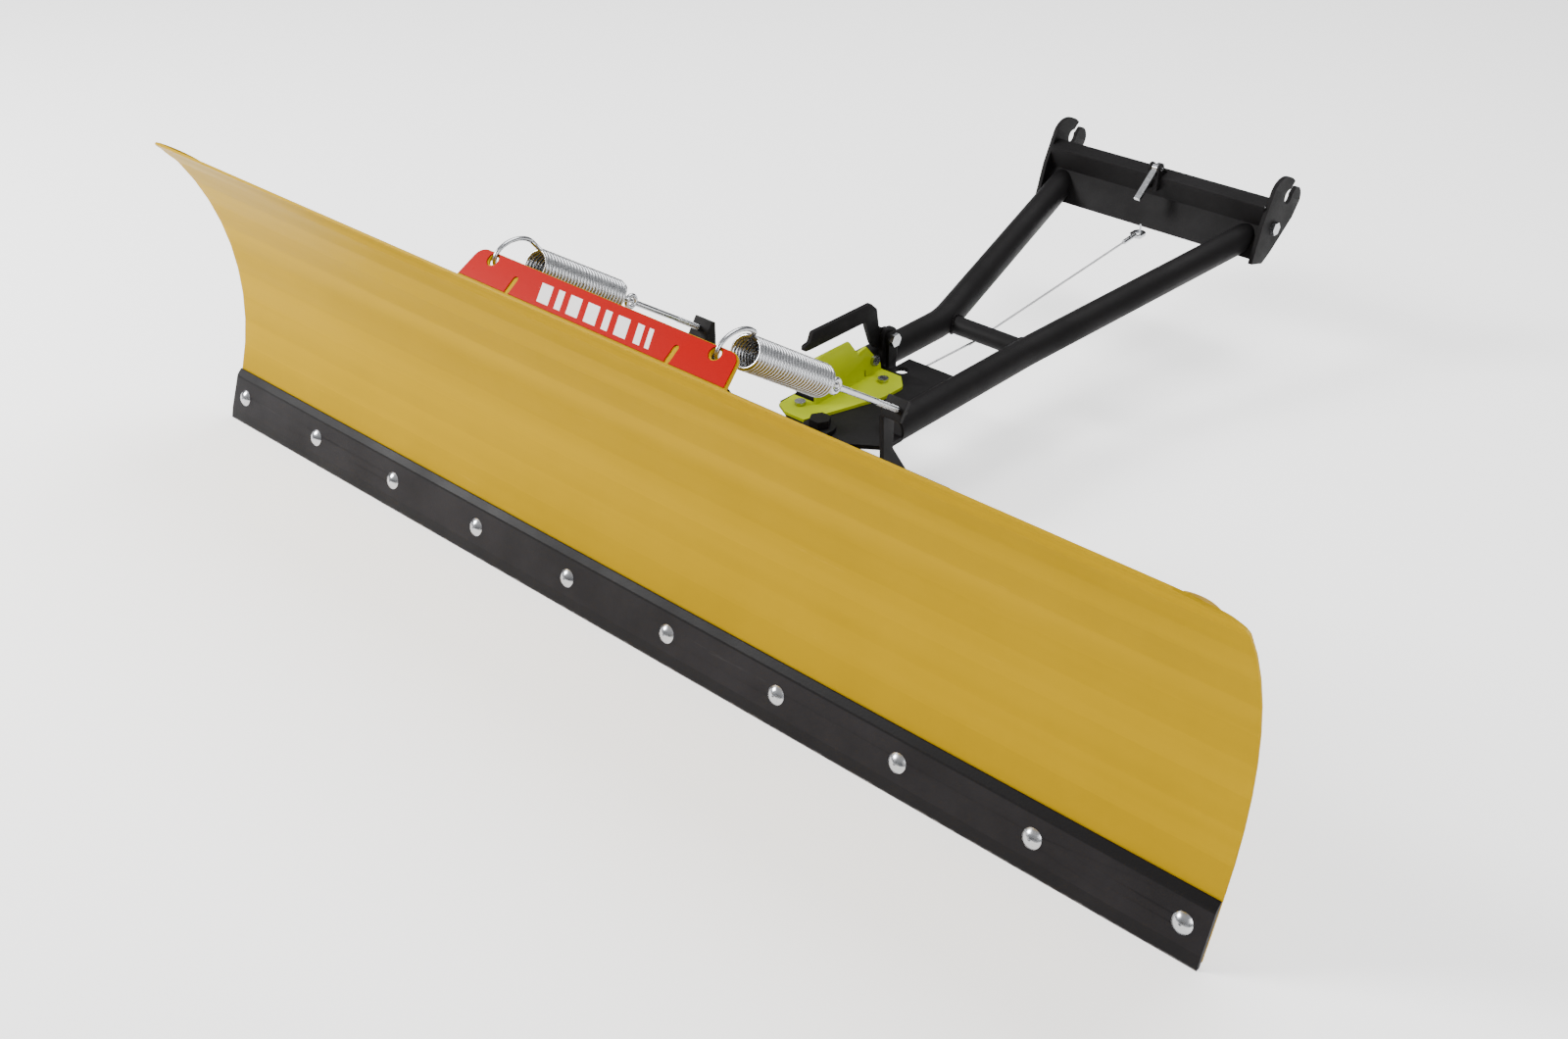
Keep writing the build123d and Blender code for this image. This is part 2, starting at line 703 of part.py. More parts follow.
with BuildPart() as king_nut:
    with BuildSketch(Plane.XY.offset(BEAM_BOTTOM)):
        with Locations((0, KING_Y)):
            Circle(KING_WASHER_R)
            Circle(KING_R, mode=Mode.SUBTRACT)
    extrude(amount=-KING_WASHER_T)
    with BuildSketch(Plane.XY.offset(BEAM_BOTTOM - KING_WASHER_T)):
        with Locations((0, KING_Y)):
            RegularPolygon(KING_HEX_R, 6, major_radius=False)
            Circle(KING_R, mode=Mode.SUBTRACT)
    extrude(amount=-KING_NUT_T)
save(king_nut, "king_nut")

# ============================================================ trip springs

spring_down = Vector(0, cos(radians(SPRING_SLOPE)), sin(radians(SPRING_SLOPE)))
spring_up = Vector(0, -sin(radians(SPRING_SLOPE)), cos(radians(SPRING_SLOPE)))


def on_spring(side, along, off=0.0):
    """A point along a spring's axis, measured down from the coil's upper end, and off above it."""
    start = Vector(side * SPRING_X, *SPRING_TOP)
    return start + spring_down * along + spring_up * off


def spring_lug(side):
    """One cheek on the beam with a cross plate that the eyebolt's threaded end passes through."""
    with BuildPart() as lug:
        tab_top = on_spring(side, LUG_AT, 13)
        tab_foot = on_spring(side, LUG_AT, -14)
        tail = on_spring(side, LUG_AT + LUG_TOP_T, 13)
        with BuildSketch(yz_plane(side * (SPRING_X - LUG_CHEEK_X))):
            with BuildLine():
                Polyline(
                    (tab_top.Y, tab_top.Z),
                    (tail.Y, tail.Z),
                    (tail.Y, 160),
                    (BEAM_BACK - 24, BEAM_TOP),
                    (BEAM_FRONT + 2, BEAM_TOP),
                    (tab_foot.Y + 3, 150),
                    (tab_foot.Y, tab_foot.Z),
                    close=True,
                )
            make_face()
        extrude(amount=LUG_CHEEK_T / 2, both=True)
        with BuildSketch(Plane(origin=on_spring(side, LUG_AT), x_dir=(1, 0, 0), z_dir=spring_down)):
            with Locations((-side * (LUG_CHEEK_X - LUG_TAB_X) / 2, 0)):
                Rectangle(LUG_CHEEK_X + LUG_TAB_X, 26)
            Circle(EYE_ROD_R, mode=Mode.SUBTRACT)
        extrude(amount=LUG_TOP_T)
    return lug


def eyebolt(side):
    """A bent-ring eyebolt: its ring holds the spring, and its rod passes through the lug."""
    ring_centre = on_spring(side, SPRING_EYE_AT)
    with BuildPart() as eye:
        with BuildSketch(Plane(origin=on_spring(side, SPRING_EYE_AT + EYE_RING_R), z_dir=spring_down)):
            Circle(EYE_ROD_R)
        extrude(amount=LUG_AT - SPRING_EYE_AT - EYE_RING_R + EYE_ROD_TAIL)
        with BuildSketch(Plane(origin=ring_centre + spring_up * EYE_RING_R, z_dir=spring_down)):
            Circle(EYE_WIRE_R)
        revolve(axis=Axis(ring_centre, (1, 0, 0)))
    return eye


def trip_spring(side):
    """A close-coiled extension spring as its outer envelope, with its open hook over the bracket's edge."""
    shift = Vector(side * (BRACKET_HOLE_X - SPRING_X), 0, 0)
    with BuildPart() as spring:
        with BuildSketch(Plane(origin=on_spring(side, 0), z_dir=spring_down)):
            Circle(SPRING_OD / 2)
            Circle(SPRING_OD / 2 - SPRING_WIRE, mode=Mode.SUBTRACT)
        extrude(amount=SPRING_LENGTH)
        hook_x = side * BRACKET_HOLE_X
        hole = bracket_plane.from_local_coords(Vector(hook_x, BRACKET_REACH - BRACKET_HOLE_IN, 0))
        coil_top = on_spring(side, 1, SPRING_OD / 2 - SPRING_WIRE / 2) + shift
        # the hook is a little over half a circle from the coil's top, through the bracket's hole
        centre = (hole + coil_top) * 0.5
        hook_r = (hole - coil_top).length / 2
        first = degrees(atan2(coil_top.Z - centre.Z, coil_top.Y - centre.Y))
        points = []
        for turn in (0, 90, 205):
            angle = radians(first + turn)
            points.append(centre + Vector(0, hook_r * cos(angle), hook_r * sin(angle)))
        with BuildLine():
            hook = ThreePointArc(*points)
        with BuildSketch(Plane(origin=hook @ 0, z_dir=hook % 0)):
            Circle(SPRING_WIRE / 2)
        sweep(path=hook)
        tail_start = on_spring(side, SPRING_LENGTH - 2, SPRING_OD / 2 - SPRING_WIRE / 2)
        tail_end = on_spring(side, SPRING_EYE_AT - EYE_RING_R - 5)
        with BuildLine():
            tail = Line(tail_start, tail_end)
        with BuildSketch(Plane(origin=tail @ 0, z_dir=tail % 0)):
            Circle(SPRING_WIRE / 2)
        sweep(path=tail)
    return spring


for side_name, side in SIDES:
    save(spring_lug(side), f"spring_lug_{side_name}")
    save(eyebolt(side), f"eyebolt_{side_name}")
    save(trip_spring(side), f"trip_spring_{side_name}")

# an adjusting nut behind each lug's cross plate
with BuildPart() as eyebolt_nuts:
    for side in (-1, 1):
        lug_back = Plane(origin=on_spring(side, LUG_AT + LUG_TOP_T), x_dir=(1, 0, 0), z_dir=spring_down)
        with BuildSketch(lug_back):
            RegularPolygon(EYE_NUT_R, 6, major_radius=False)
            Circle(EYE_ROD_R, mode=Mode.SUBTRACT)
        extrude(amount=EYE_NUT_T)
save(eyebolt_nuts, "eyebolt_nuts")

# ============================================================ crossbar and hooks

bar_face = [(1072, 232), (1080, 201), (1054, 161)]
bar_outline = [
    (1100, 237),
    *bar_face,
    (1104, 153),
    (1104, 158),
    (1061, 165),
    (1085.6, 202),
    (1078, 230.5),
    (1100, 232),
]

with BuildPart() as crossbar:
    with BuildSketch(Plane.YZ):
        with BuildLine():
            Polyline(*bar_outline, close=True)
        make_face()
    extrude(amount=HOOK_X - HOOK_T / 2, both=True)
save(crossbar, "crossbar")


def hook_plate(side):
    """An end plate with a round seat that opens up and back, for the vehicle's flatted cross pin."""
    with BuildPart() as hook:
        with BuildSketch(yz_plane(side * HOOK_X)):
            with BuildLine() as outline:
                Polyline((1050, 156), (1066, 207), (1088, 252))
                Spline((1088, 252), (1104, 263), (1127, 262), (1146, 250))
                Line((1146, 250), (1152, 240))
                Spline((1152, 240), (1164, 234), (1168, 223), (1164, 212))
                Polyline((1164, 212), (1152, 196), (1102, 160), (1080, 148), (1050, 156))
            make_face()
            with Locations((SEAT_Y, SEAT_Z)):
                Circle(SEAT_R, mode=Mode.SUBTRACT)
            with Locations(Location((SEAT_Y, SEAT_Z), SLOT_ANGLE)):
                with Locations((22, 0)):
                    Rectangle(44, SLOT_W, mode=Mode.SUBTRACT)
            with Locations(HOOK_BOLT):
                Circle(HOOK_BOLT_R, mode=Mode.SUBTRACT)
        extrude(amount=HOOK_T / 2, both=True)
    return hook


for side_name, side in SIDES:
    save(hook_plate(side), f"hook_plate_{side_name}")

with BuildPart() as hook_bolts:
    for side in (-1, 1):
        outer = side * (HOOK_X + HOOK_T / 2)
        with BuildSketch(Plane.YZ.offset(outer - side * (HOOK_T + HOOK_NUT_T + 1))):
            with Locations(HOOK_BOLT):
                Circle(HOOK_BOLT_R)
        extrude(amount=side * (HOOK_T + HOOK_NUT_T + 1))
        with BuildSketch(Plane.YZ.offset(outer)):
            with Locations(HOOK_BOLT):
                RegularPolygon(HOOK_HEX_R, 6, major_radius=False)
        extrude(amount=side * HOOK_HEAD_T)
        with BuildSketch(Plane.YZ.offset(outer - side * HOOK_T)):
            with Locations(HOOK_BOLT):
                RegularPolygon(HOOK_HEX_R, 6, major_radius=False)
                Circle(HOOK_BOLT_R, mode=Mode.SUBTRACT)
        extrude(amount=-side * HOOK_NUT_T)
save(hook_bolts, "hook_bolts")

# ============================================================ push tubes, cross tube and pivot plate


def tube_path(side):
    """The tube's centre line: level and straight ahead, then rising and spreading to the crossbar."""
    end = (side * TUBE_END[0], TUBE_END[1], TUBE_END[2])
    return [(side * TUBE_X, TUBE_FRONT, TUBE_Z), (side * TUBE_X, TUBE_BEND, TUBE_Z), end]


lower_face = Plane(
    origin=(0, 1054, 161),
    x_dir=(1, 0, 0),
    z_dir=Vector(0, bar_face[1][1] - bar_face[2][1], -(bar_face[1][0] - bar_face[2][0])),
)


def push_tube(side, wall=TUBE_WALL):
    """One round push tube, cut off at the crossbar's lower face; with no wall it is solid."""
    start, bend, end = tube_path(side)
    overrun = Vector(*end) + (Vector(*end) - Vector(*bend)).normalized() * 60
    with BuildPart() as tube:
        with BuildLine() as path:
            FilletPolyline(start, bend, tuple(overrun), radius=TUBE_BEND_R)
        with BuildSketch(Plane(origin=start, x_dir=(1, 0, 0), z_dir=(0, 1, 0))):
            Circle(TUBE_R)
            if wall:
                Circle(TUBE_R - wall, mode=Mode.SUBTRACT)
        sweep(path=path.wires()[0])
        split(bisect_by=lower_face, keep=Keep.BOTTOM)
    return tube


tubes = {side: push_tube(side) for side in (-1, 1)}
solid_tubes = {side: push_tube(side, wall=0) for side in (-1, 1)}
for side_name, side in SIDES:
    save(tubes[side], f"push_tube_{side_name}")

with BuildPart() as tube_plugs:
    for side in (-1, 1):
        with BuildSketch(Plane(origin=(side * TUBE_X, TUBE_FRONT, TUBE_Z), z_dir=(0, 1, 0))):
            Circle(TUBE_R - TUBE_WALL)
        extrude(amount=12)
save(tube_plugs, "tube_plugs")

with BuildPart() as cross_tube:
    with BuildSketch(Plane.YZ):
        with Locations((CROSS_TUBE_Y, CROSS_TUBE_Z)):
            Circle(CROSS_TUBE_R)
            Circle(CROSS_TUBE_R - CROSS_TUBE_WALL, mode=Mode.SUBTRACT)
    extrude(amount=TUBE_X + 2, both=True)
    add(solid_tubes[-1].part, mode=Mode.SUBTRACT)
    add(solid_tubes[1].part, mode=Mode.SUBTRACT)
save(cross_tube, "cross_tube")

with BuildPart() as pivot_plate:
    with BuildSketch(Plane.XY.offset(PLATE_Z)):
        with Locations((0, KING_Y)):
            Circle(36)
        with BuildLine():
            Polyline(
                (-33, KING_Y - 14),
                (-PLATE_HALF, KING_Y + 22),
                (-PLATE_HALF, TUBE_FRONT),
                (-52, TUBE_FRONT),
                (-52, PLATE_BACK - 38),
                (-38, PLATE_BACK - 38),
                (-38, PLATE_BACK),
                (38, PLATE_BACK),
                (38, PLATE_BACK - 38),
                (52, PLATE_BACK - 38),
                (52, TUBE_FRONT),
                (PLATE_HALF, TUBE_FRONT),
                (PLATE_HALF, KING_Y + 22),
                (33, KING_Y - 14),
                close=True,
            )
        make_face()
        with Locations((0, KING_Y)):
            Circle(KING_R + RUNNING, mode=Mode.SUBTRACT)
        with Locations(ACCESSORY_HOLE):
            Circle(ACCESSORY_R, mode=Mode.SUBTRACT)
        with Locations(*LOCK_BOLTS):
            Circle(LOCK_BOLT_R, mode=Mode.SUBTRACT)
    extrude(amount=PLATE_T)
    add(solid_tubes[-1].part, mode=Mode.SUBTRACT)
    add(solid_tubes[1].part, mode=Mode.SUBTRACT)
save(pivot_plate, "pivot_plate")

# ============================================================ lock bracket

with BuildPart() as lock_bracket:
    with BuildSketch(Plane.XY.offset(BASE_Z)) as base_outline:
        with BuildLine():
            Polyline(
                (-79, 393),
                (-76, 362),
                (-58, 352),
                (-26, 352),
                (-21, 366),
                (1, 439),
                (9, 462),
                (9, 500),
                (-10, 520),
                (-44, 520),
                (-44, 394),
                close=True,
            )
        make_face()
        fillet(base_outline.vertices().filter_by_position(Axis.X, 0, 12).group_by(Axis.Y)[1:], 9)
    extrude(amount=FOLD_T)
    with BuildSketch(yz_plane(FLANGE_X)) as tall_outline:
        with BuildLine():
            Polyline(
                (391, BASE_Z),
                (391, 182),
                (452, 182),
                (480, 146),
                (484, BASE_Z),
                close=True,
            )
        make_face()
        fillet(tall_outline.vertices().group_by(Axis.Y)[-3:-1], 4)
    extrude(amount=FOLD_T / 2, both=True)
    with BuildSketch(yz_plane(SMALL_FLANGE_X)):
        with BuildLine():
            Polyline(
                (490, BASE_Z),
                (490, 128),
                (472, 134),
                (474, 158),
                (489, 161),
                (518, 128),
                (520, BASE_Z),
                close=True,
            )
        make_face()
        with Locations(FLANGE_BOLT):
            Circle(LOCK_BOLT_R, mode=Mode.SUBTRACT)
    extrude(amount=FOLD_T / 2, both=True)
    with BuildSketch(Plane.XY.offset(BASE_Z)):
        with Locations(*LOCK_BOLTS):
            Circle(LOCK_BOLT_R)
    extrude(amount=FOLD_T, mode=Mode.SUBTRACT)
save(lock_bracket, "lock_bracket")

with BuildPart() as lock_bracket_bolts:
    with BuildSketch(Plane.XY.offset(PLATE_Z - 3)):
        with Locations(*LOCK_BOLTS):
            Circle(LOCK_BOLT_R)
    extrude(amount=BASE_Z + FOLD_T - PLATE_Z + 3)
    with BuildSketch(Plane.XY.offset(BASE_Z + FOLD_T)):
        with Locations(*LOCK_BOLTS):
            Circle(BUTTON_R)
    extrude(amount=BUTTON_H)
    flange_face = SMALL_FLANGE_X + FOLD_T / 2
    with BuildSketch(Plane.YZ.offset(flange_face - FOLD_T - 5)):
        with Locations(FLANGE_BOLT):
            Circle(LOCK_BOLT_R)
    extrude(amount=FOLD_T + 5)
    with BuildSketch(Plane.YZ.offset(flange_face)):
        with Locations(FLANGE_BOLT):
            Circle(BUTTON_R)
    extrude(amount=BUTTON_H)
    with BuildSketch(Plane.YZ.offset(flange_face - FOLD_T)):
        with Locations(FLANGE_BOLT):
            RegularPolygon(FLANGE_NUT_R, 6, major_radius=False)
            Circle(LOCK_BOLT_R, mode=Mode.SUBTRACT)
    extrude(amount=-4.5)
save(lock_bracket_bolts, "lock_bracket_bolts")

# ============================================================ foot lever and toe crank

with BuildPart() as lever_lug:
    with BuildSketch(yz_plane(LUG_X)):
        with BuildLine():
            Polyline((528, LEVER_Z), (528, 121), (560, 121), (558, LEVER_Z), close=True)
        make_face()
        with Locations((LEVER_Y, LEVER_Z)):
            Circle(15)
            Circle(LEVER_BOLT_R + RUNNING, mode=Mode.SUBTRACT)
    extrude(amount=LEVER_T / 2, both=True)
    add(solid_tubes[-1].part, mode=Mode.SUBTRACT)
save(lever_lug, "lever_lug")

with BuildPart() as foot_lever:
    with BuildSketch(yz_plane(LEVER_X)) as lever_outline:
        with BuildLine():
            Polyline(
                (386, 188),
                (386, 195),
                (396, 197),
                (401, 209),
                (511, 209),
                (523, 198),
                (528, 172),
                (543, 162),
                (553, 152),
                (543, 142),
                (524, 142),
                (514, 152),
                (505, 175),
                (501, 187),
                (398, 187),
                close=True,
            )
        make_face()
        fillet(lever_outline.vertices(), 2.4)
        with Locations((LEVER_Y, LEVER_Z)):
            Circle(12)
            Circle(LEVER_BOLT_R, mode=Mode.SUBTRACT)
    extrude(amount=LEVER_T / 2, both=True)
save(foot_lever, "foot_lever")

fork_top = PLUNGER_Z + CROSS_PIN_R + 1.5
with BuildPart() as toe_crank:
    with BuildSketch(yz_plane(CRANK_X)):
        with Locations((LEVER_Y, LEVER_Z)):
            Circle(10)
        with Locations((LEVER_Y, (LEVER_Z + CRANK_BOTTOM) / 2)):
            Rectangle(CRANK_W, LEVER_Z - CRANK_BOTTOM)
        with Locations((LEVER_Y, (CRANK_BOTTOM + fork_top) / 2)):
            Rectangle(2 * CROSS_PIN_R + 0.8, fork_top - CRANK_BOTTOM, mode=Mode.SUBTRACT)
        with Locations((LEVER_Y, LEVER_Z)):
            Circle(LEVER_BOLT_R, mode=Mode.SUBTRACT)
    extrude(amount=CRANK_T / 2, both=True)
save(toe_crank, "toe_crank")

lever_face = LEVER_X - LEVER_T / 2
crank_face = CRANK_X + CRANK_T / 2
with BuildPart() as lever_bolt:
    with BuildSketch(Plane.YZ.offset(lever_face)):
        with Locations((LEVER_Y, LEVER_Z)):
            Circle(LEVER_BOLT_R)
    extrude(amount=crank_face - lever_face)
    for face, way in ((crank_face, 1), (lever_face, -1)):
        with BuildSketch(Plane.YZ.offset(face)):
            with Locations((LEVER_Y, LEVER_Z)):
                RegularPolygon(LEVER_HEX_R, 6, major_radius=False)
        extrude(amount=way * LEVER_HEX_T)
save(lever_bolt, "lever_bolt")

# ============================================================ lock plunger and its cable

nose_y = KING_Y + SECTOR_R + PLUNGER_GAP


def y_plane(y):
    """A sketch plane square to the plunger's axis, facing the vehicle."""
    return Plane(origin=(0, y, PLUNGER_Z), x_dir=(1, 0, 0), z_dir=(0, 1, 0))


with BuildPart() as lock_plunger:
    with BuildSketch(y_plane(nose_y)):
        Circle(PLUNGER_R)
    extrude(amount=PLUNGER_END - nose_y)
    chamfer(lock_plunger.faces().sort_by(Axis.Y)[0].edges(), 1.5)
    with BuildSketch(y_plane(COLLAR_Y)):
        Circle(COLLAR_R)
    extrude(amount=COLLAR_T)
    with BuildSketch(Plane.YZ):
        with Locations((LEVER_Y, PLUNGER_Z)):
            Circle(CROSS_PIN_R)
    extrude(amount=10, both=True, mode=Mode.SUBTRACT)
save(lock_plunger, "lock_plunger")

with BuildPart() as cross_pin:
    with BuildSketch(Plane.YZ.offset(-51)):
        with Locations((LEVER_Y, PLUNGER_Z)):
            Circle(CROSS_PIN_R)
    extrude(amount=60)
save(cross_pin, "cross_pin")

guide_height = PLATE_Z - PLUNGER_Z + GUIDE_DROP
with BuildPart() as plunger_guides:
    for guide_y in GUIDE_YS:
        with BuildSketch(y_plane(guide_y - GUIDE_T / 2)):
            # local +y points down on this plane
            with Locations((0, GUIDE_DROP - guide_height / 2)):
                Rectangle(GUIDE_W, guide_height)
            Circle(PLUNGER_R + RUNNING, mode=Mode.SUBTRACT)
        extrude(amount=GUIDE_T)
save(plunger_guides, "plunger_guides")

with BuildPart() as plunger_spring:
    with BuildSketch(y_plane(COLLAR_Y + COLLAR_T)):
        Circle(PLUNGER_SPRING_R)
        Circle(PLUNGER_R + 0.6, mode=Mode.SUBTRACT)
    extrude(amount=GUIDE_YS[1] - GUIDE_T / 2 - COLLAR_Y - COLLAR_T)
save(plunger_spring, "plunger_spring")

cable_pin = Vector(CABLE_X, LEVER_Y, PLUNGER_Z)
cable_under = Vector(*CABLE_UNDER)
cable_end = Vector(*CABLE_END)
front_run = (cable_under - cable_pin).normalized()
cable_start = cable_pin + front_run * FRONT_FERRULE

with BuildPart() as cable_front_end:
    with BuildSketch(Plane.YZ.offset(CABLE_X - 4)):
        with Locations((LEVER_Y, PLUNGER_Z)):
            Circle(6.5)
    extrude(amount=8)
    with BuildSketch(Plane(origin=cable_pin, z_dir=front_run)):
        Circle(FERRULE_R)
    extrude(amount=FRONT_FERRULE)
    with BuildSketch(Plane.YZ.offset(CABLE_X - 4)):
        with Locations((LEVER_Y, PLUNGER_Z)):
            Circle(CROSS_PIN_R)
    extrude(amount=8, mode=Mode.SUBTRACT)
save(cable_front_end, "cable_front_end")

# the tight cable bends once, round the underside of the cross tube
cable_radii = [CROSS_TUBE_R + CABLE_GAP + CABLE_R]
with BuildPart() as release_cable:
    with BuildLine() as route:
        FilletPolyline(cable_start, cable_under, cable_end, radius=cable_radii)
    with BuildSketch(Plane(origin=cable_start, z_dir=front_run)):
        Circle(CABLE_R)
    sweep(path=route.wires()[0])
save(release_cable, "release_cable")
cable_length = route.wires()[0].length
cable_volume = release_cable.part.volume
print("cable bend radii", cable_radii)
print("cable length", round(cable_length, 1))
print("cable volume over section times length", round(cable_volume / (pi * CABLE_R ** 2 * cable_length), 4))

rear_run = (cable_end - cable_under).normalized()
eye_plane = Plane(origin=(0, EYE_START + EYE_LENGTH / 2, EYE_Z), x_dir=(0, 1, 0), z_dir=(0, 0, 1))
with BuildPart() as cable_eye:
    with BuildSketch(eye_plane):
        SlotOverall(EYE_LENGTH, EYE_WIDTH)
    extrude(amount=EYE_T / 2, both=True)
    with BuildSketch(Plane(origin=cable_end, z_dir=rear_run)):
        Circle(REAR_FERRULE_R)
    extrude(amount=REAR_FERRULE)
    with BuildSketch(eye_plane):
        SlotOverall(EYE_SLOT, EYE_SLOT_W)
    extrude(amount=3 * EYE_T, both=True, mode=Mode.SUBTRACT)
save(cable_eye, "cable_eye")

peg_y = EYE_START + EYE_LENGTH / 2 + EYE_SLOT / 2 - 2.2
with BuildPart() as cable_peg:
    with BuildSketch(Plane.XY.offset(EYE_Z - 6)):
        with Locations((0, peg_y)):
            Circle(PEG_R)
    extrude(amount=20)
    with BuildSketch(Plane.XY.offset(EYE_Z - 8)):
        with Locations((0, peg_y)):
            Circle(PEG_HEAD_R)
    extrude(amount=2.5)
    add(crossbar.part, mode=Mode.SUBTRACT)
save(cable_peg, "cable_peg")

# ============================================================ crossbar latch

with BuildPart() as latch_ears:
    for ear_x in (LATCH_X - LATCH_W / 2 - 0.5 - EAR_T / 2, LATCH_X + LATCH_W / 2 + 0.5 + EAR_T / 2):
        with BuildSketch(yz_plane(ear_x)):
            with BuildLine():
                Polyline(
                    (1066, 213),
                    (1076.9, 213),
                    (1072, 232),
                    (1092, 235.6),
                    (1080, 246),
                    (1068, 246),
                    close=True,
                )
            make_face()
            with Locations(LATCH_PIVOT):
                Circle(7.5)
        extrude(amount=EAR_T / 2, both=True)
    with BuildSketch(yz_plane(LATCH_X)):
        with Locations(LATCH_PIVOT):
            Circle(LATCH_PIN_R)
    extrude(amount=20, both=True, mode=Mode.SUBTRACT)
    add(crossbar.part, mode=Mode.SUBTRACT)
save(latch_ears, "latch_ears")

pin_reach = LATCH_W / 2 + EAR_T + 2
with BuildPart() as latch_pin:
    with BuildSketch(Plane.YZ.offset(LATCH_X)):
        with Locations(LATCH_PIVOT):
            Circle(LATCH_PIN_R)
    extrude(amount=pin_reach, both=True)
save(latch_pin, "latch_pin")

with BuildPart() as latch_lever:
    with BuildSketch(yz_plane(LATCH_X)):
        with Locations(Location(LATCH_PIVOT, 180 + LATCH_DROP)):
            with Locations((LATCH_REACH / 2, 0)):
                RectangleRounded(LATCH_REACH, LATCH_T, 1.5)
        with Locations((LATCH_PIVOT[0] + 7, LATCH_PIVOT[1] + 1)):
            RectangleRounded(16, LATCH_T, 1.5)
        with Locations(LATCH_PIVOT):
            Circle(5.5)
            Circle(LATCH_PIN_R + RUNNING, mode=Mode.SUBTRACT)
    extrude(amount=LATCH_W / 2, both=True)
save(latch_lever, "latch_lever")
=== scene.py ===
"""Finishes and fine shapes for a vehicle snow plow: sheet, springs, cable, welds, threads and stage."""

import json
import math

import bmesh
import bpy
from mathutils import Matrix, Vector

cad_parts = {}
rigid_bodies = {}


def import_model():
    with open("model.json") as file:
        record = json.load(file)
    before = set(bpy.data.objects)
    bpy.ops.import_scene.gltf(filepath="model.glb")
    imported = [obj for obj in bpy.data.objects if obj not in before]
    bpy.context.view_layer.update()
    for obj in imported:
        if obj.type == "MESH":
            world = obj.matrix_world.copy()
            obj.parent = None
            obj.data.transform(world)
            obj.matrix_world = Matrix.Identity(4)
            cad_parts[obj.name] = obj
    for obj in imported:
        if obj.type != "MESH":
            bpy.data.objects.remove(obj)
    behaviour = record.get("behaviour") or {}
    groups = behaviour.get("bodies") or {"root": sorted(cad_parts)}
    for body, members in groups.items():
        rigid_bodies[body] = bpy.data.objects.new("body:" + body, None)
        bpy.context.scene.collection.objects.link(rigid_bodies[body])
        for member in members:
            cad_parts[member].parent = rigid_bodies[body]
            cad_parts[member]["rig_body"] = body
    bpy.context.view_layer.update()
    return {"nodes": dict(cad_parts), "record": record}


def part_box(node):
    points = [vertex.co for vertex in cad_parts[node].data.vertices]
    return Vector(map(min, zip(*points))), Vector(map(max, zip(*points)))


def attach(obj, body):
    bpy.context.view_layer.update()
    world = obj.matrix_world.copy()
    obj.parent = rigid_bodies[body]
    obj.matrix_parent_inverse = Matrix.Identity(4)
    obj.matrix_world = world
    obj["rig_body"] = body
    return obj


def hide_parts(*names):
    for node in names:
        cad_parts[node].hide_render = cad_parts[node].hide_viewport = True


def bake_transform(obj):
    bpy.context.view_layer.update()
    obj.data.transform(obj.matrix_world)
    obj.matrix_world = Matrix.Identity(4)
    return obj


bl_info = {
    "name": "Snow Plow Blade",
    "version": (1, 0, 0),
    "blender": (4, 5, 0),
    "location": "View3D > Sidebar > Plow",
    "description": "Builds the finishes and fine shapes of a vehicle snow plow around its CAD frame",
    "category": "Object",
}

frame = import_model()
NODE_SLOT = {row["node"]: row["material_slot"] for row in frame["record"]["subparts"]}
MM = 0.001
SIDES = (("left", -1), ("right", 1))


# ---- settings ----


class PLOW_PG_finish(bpy.types.PropertyGroup):
    """Colours of the finishes"""

    yellow: bpy.props.FloatVectorProperty(
        name="Blade yellow", subtype="COLOR", default=(0.41, 0.25, 0.0), min=0.0, max=1.0,
        description="Paint of the moldboard and its brackets",
    )
    lime: bpy.props.FloatVectorProperty(
        name="Lock bracket lime", subtype="COLOR", default=(0.35, 0.42, 0.002), min=0.0, max=1.0,
        description="Paint of the folded lock bracket",
    )
    red: bpy.props.FloatVectorProperty(
        name="Sign red", subtype="COLOR", default=(0.36, 0.0, 0.0), min=0.0, max=1.0,
        description="Enamel of the sign plate",
    )
    black: bpy.props.FloatVectorProperty(
        name="Frame black", subtype="COLOR", default=(0.0055, 0.005, 0.0054), min=0.0, max=1.0,
        description="Powder coat of the push frame",
    )
    zinc: bpy.props.FloatVectorProperty(
        name="Zinc", subtype="COLOR", default=(0.52, 0.53, 0.55), min=0.0, max=1.0,
        description="Bright plating of the bolts, springs and pins",
    )


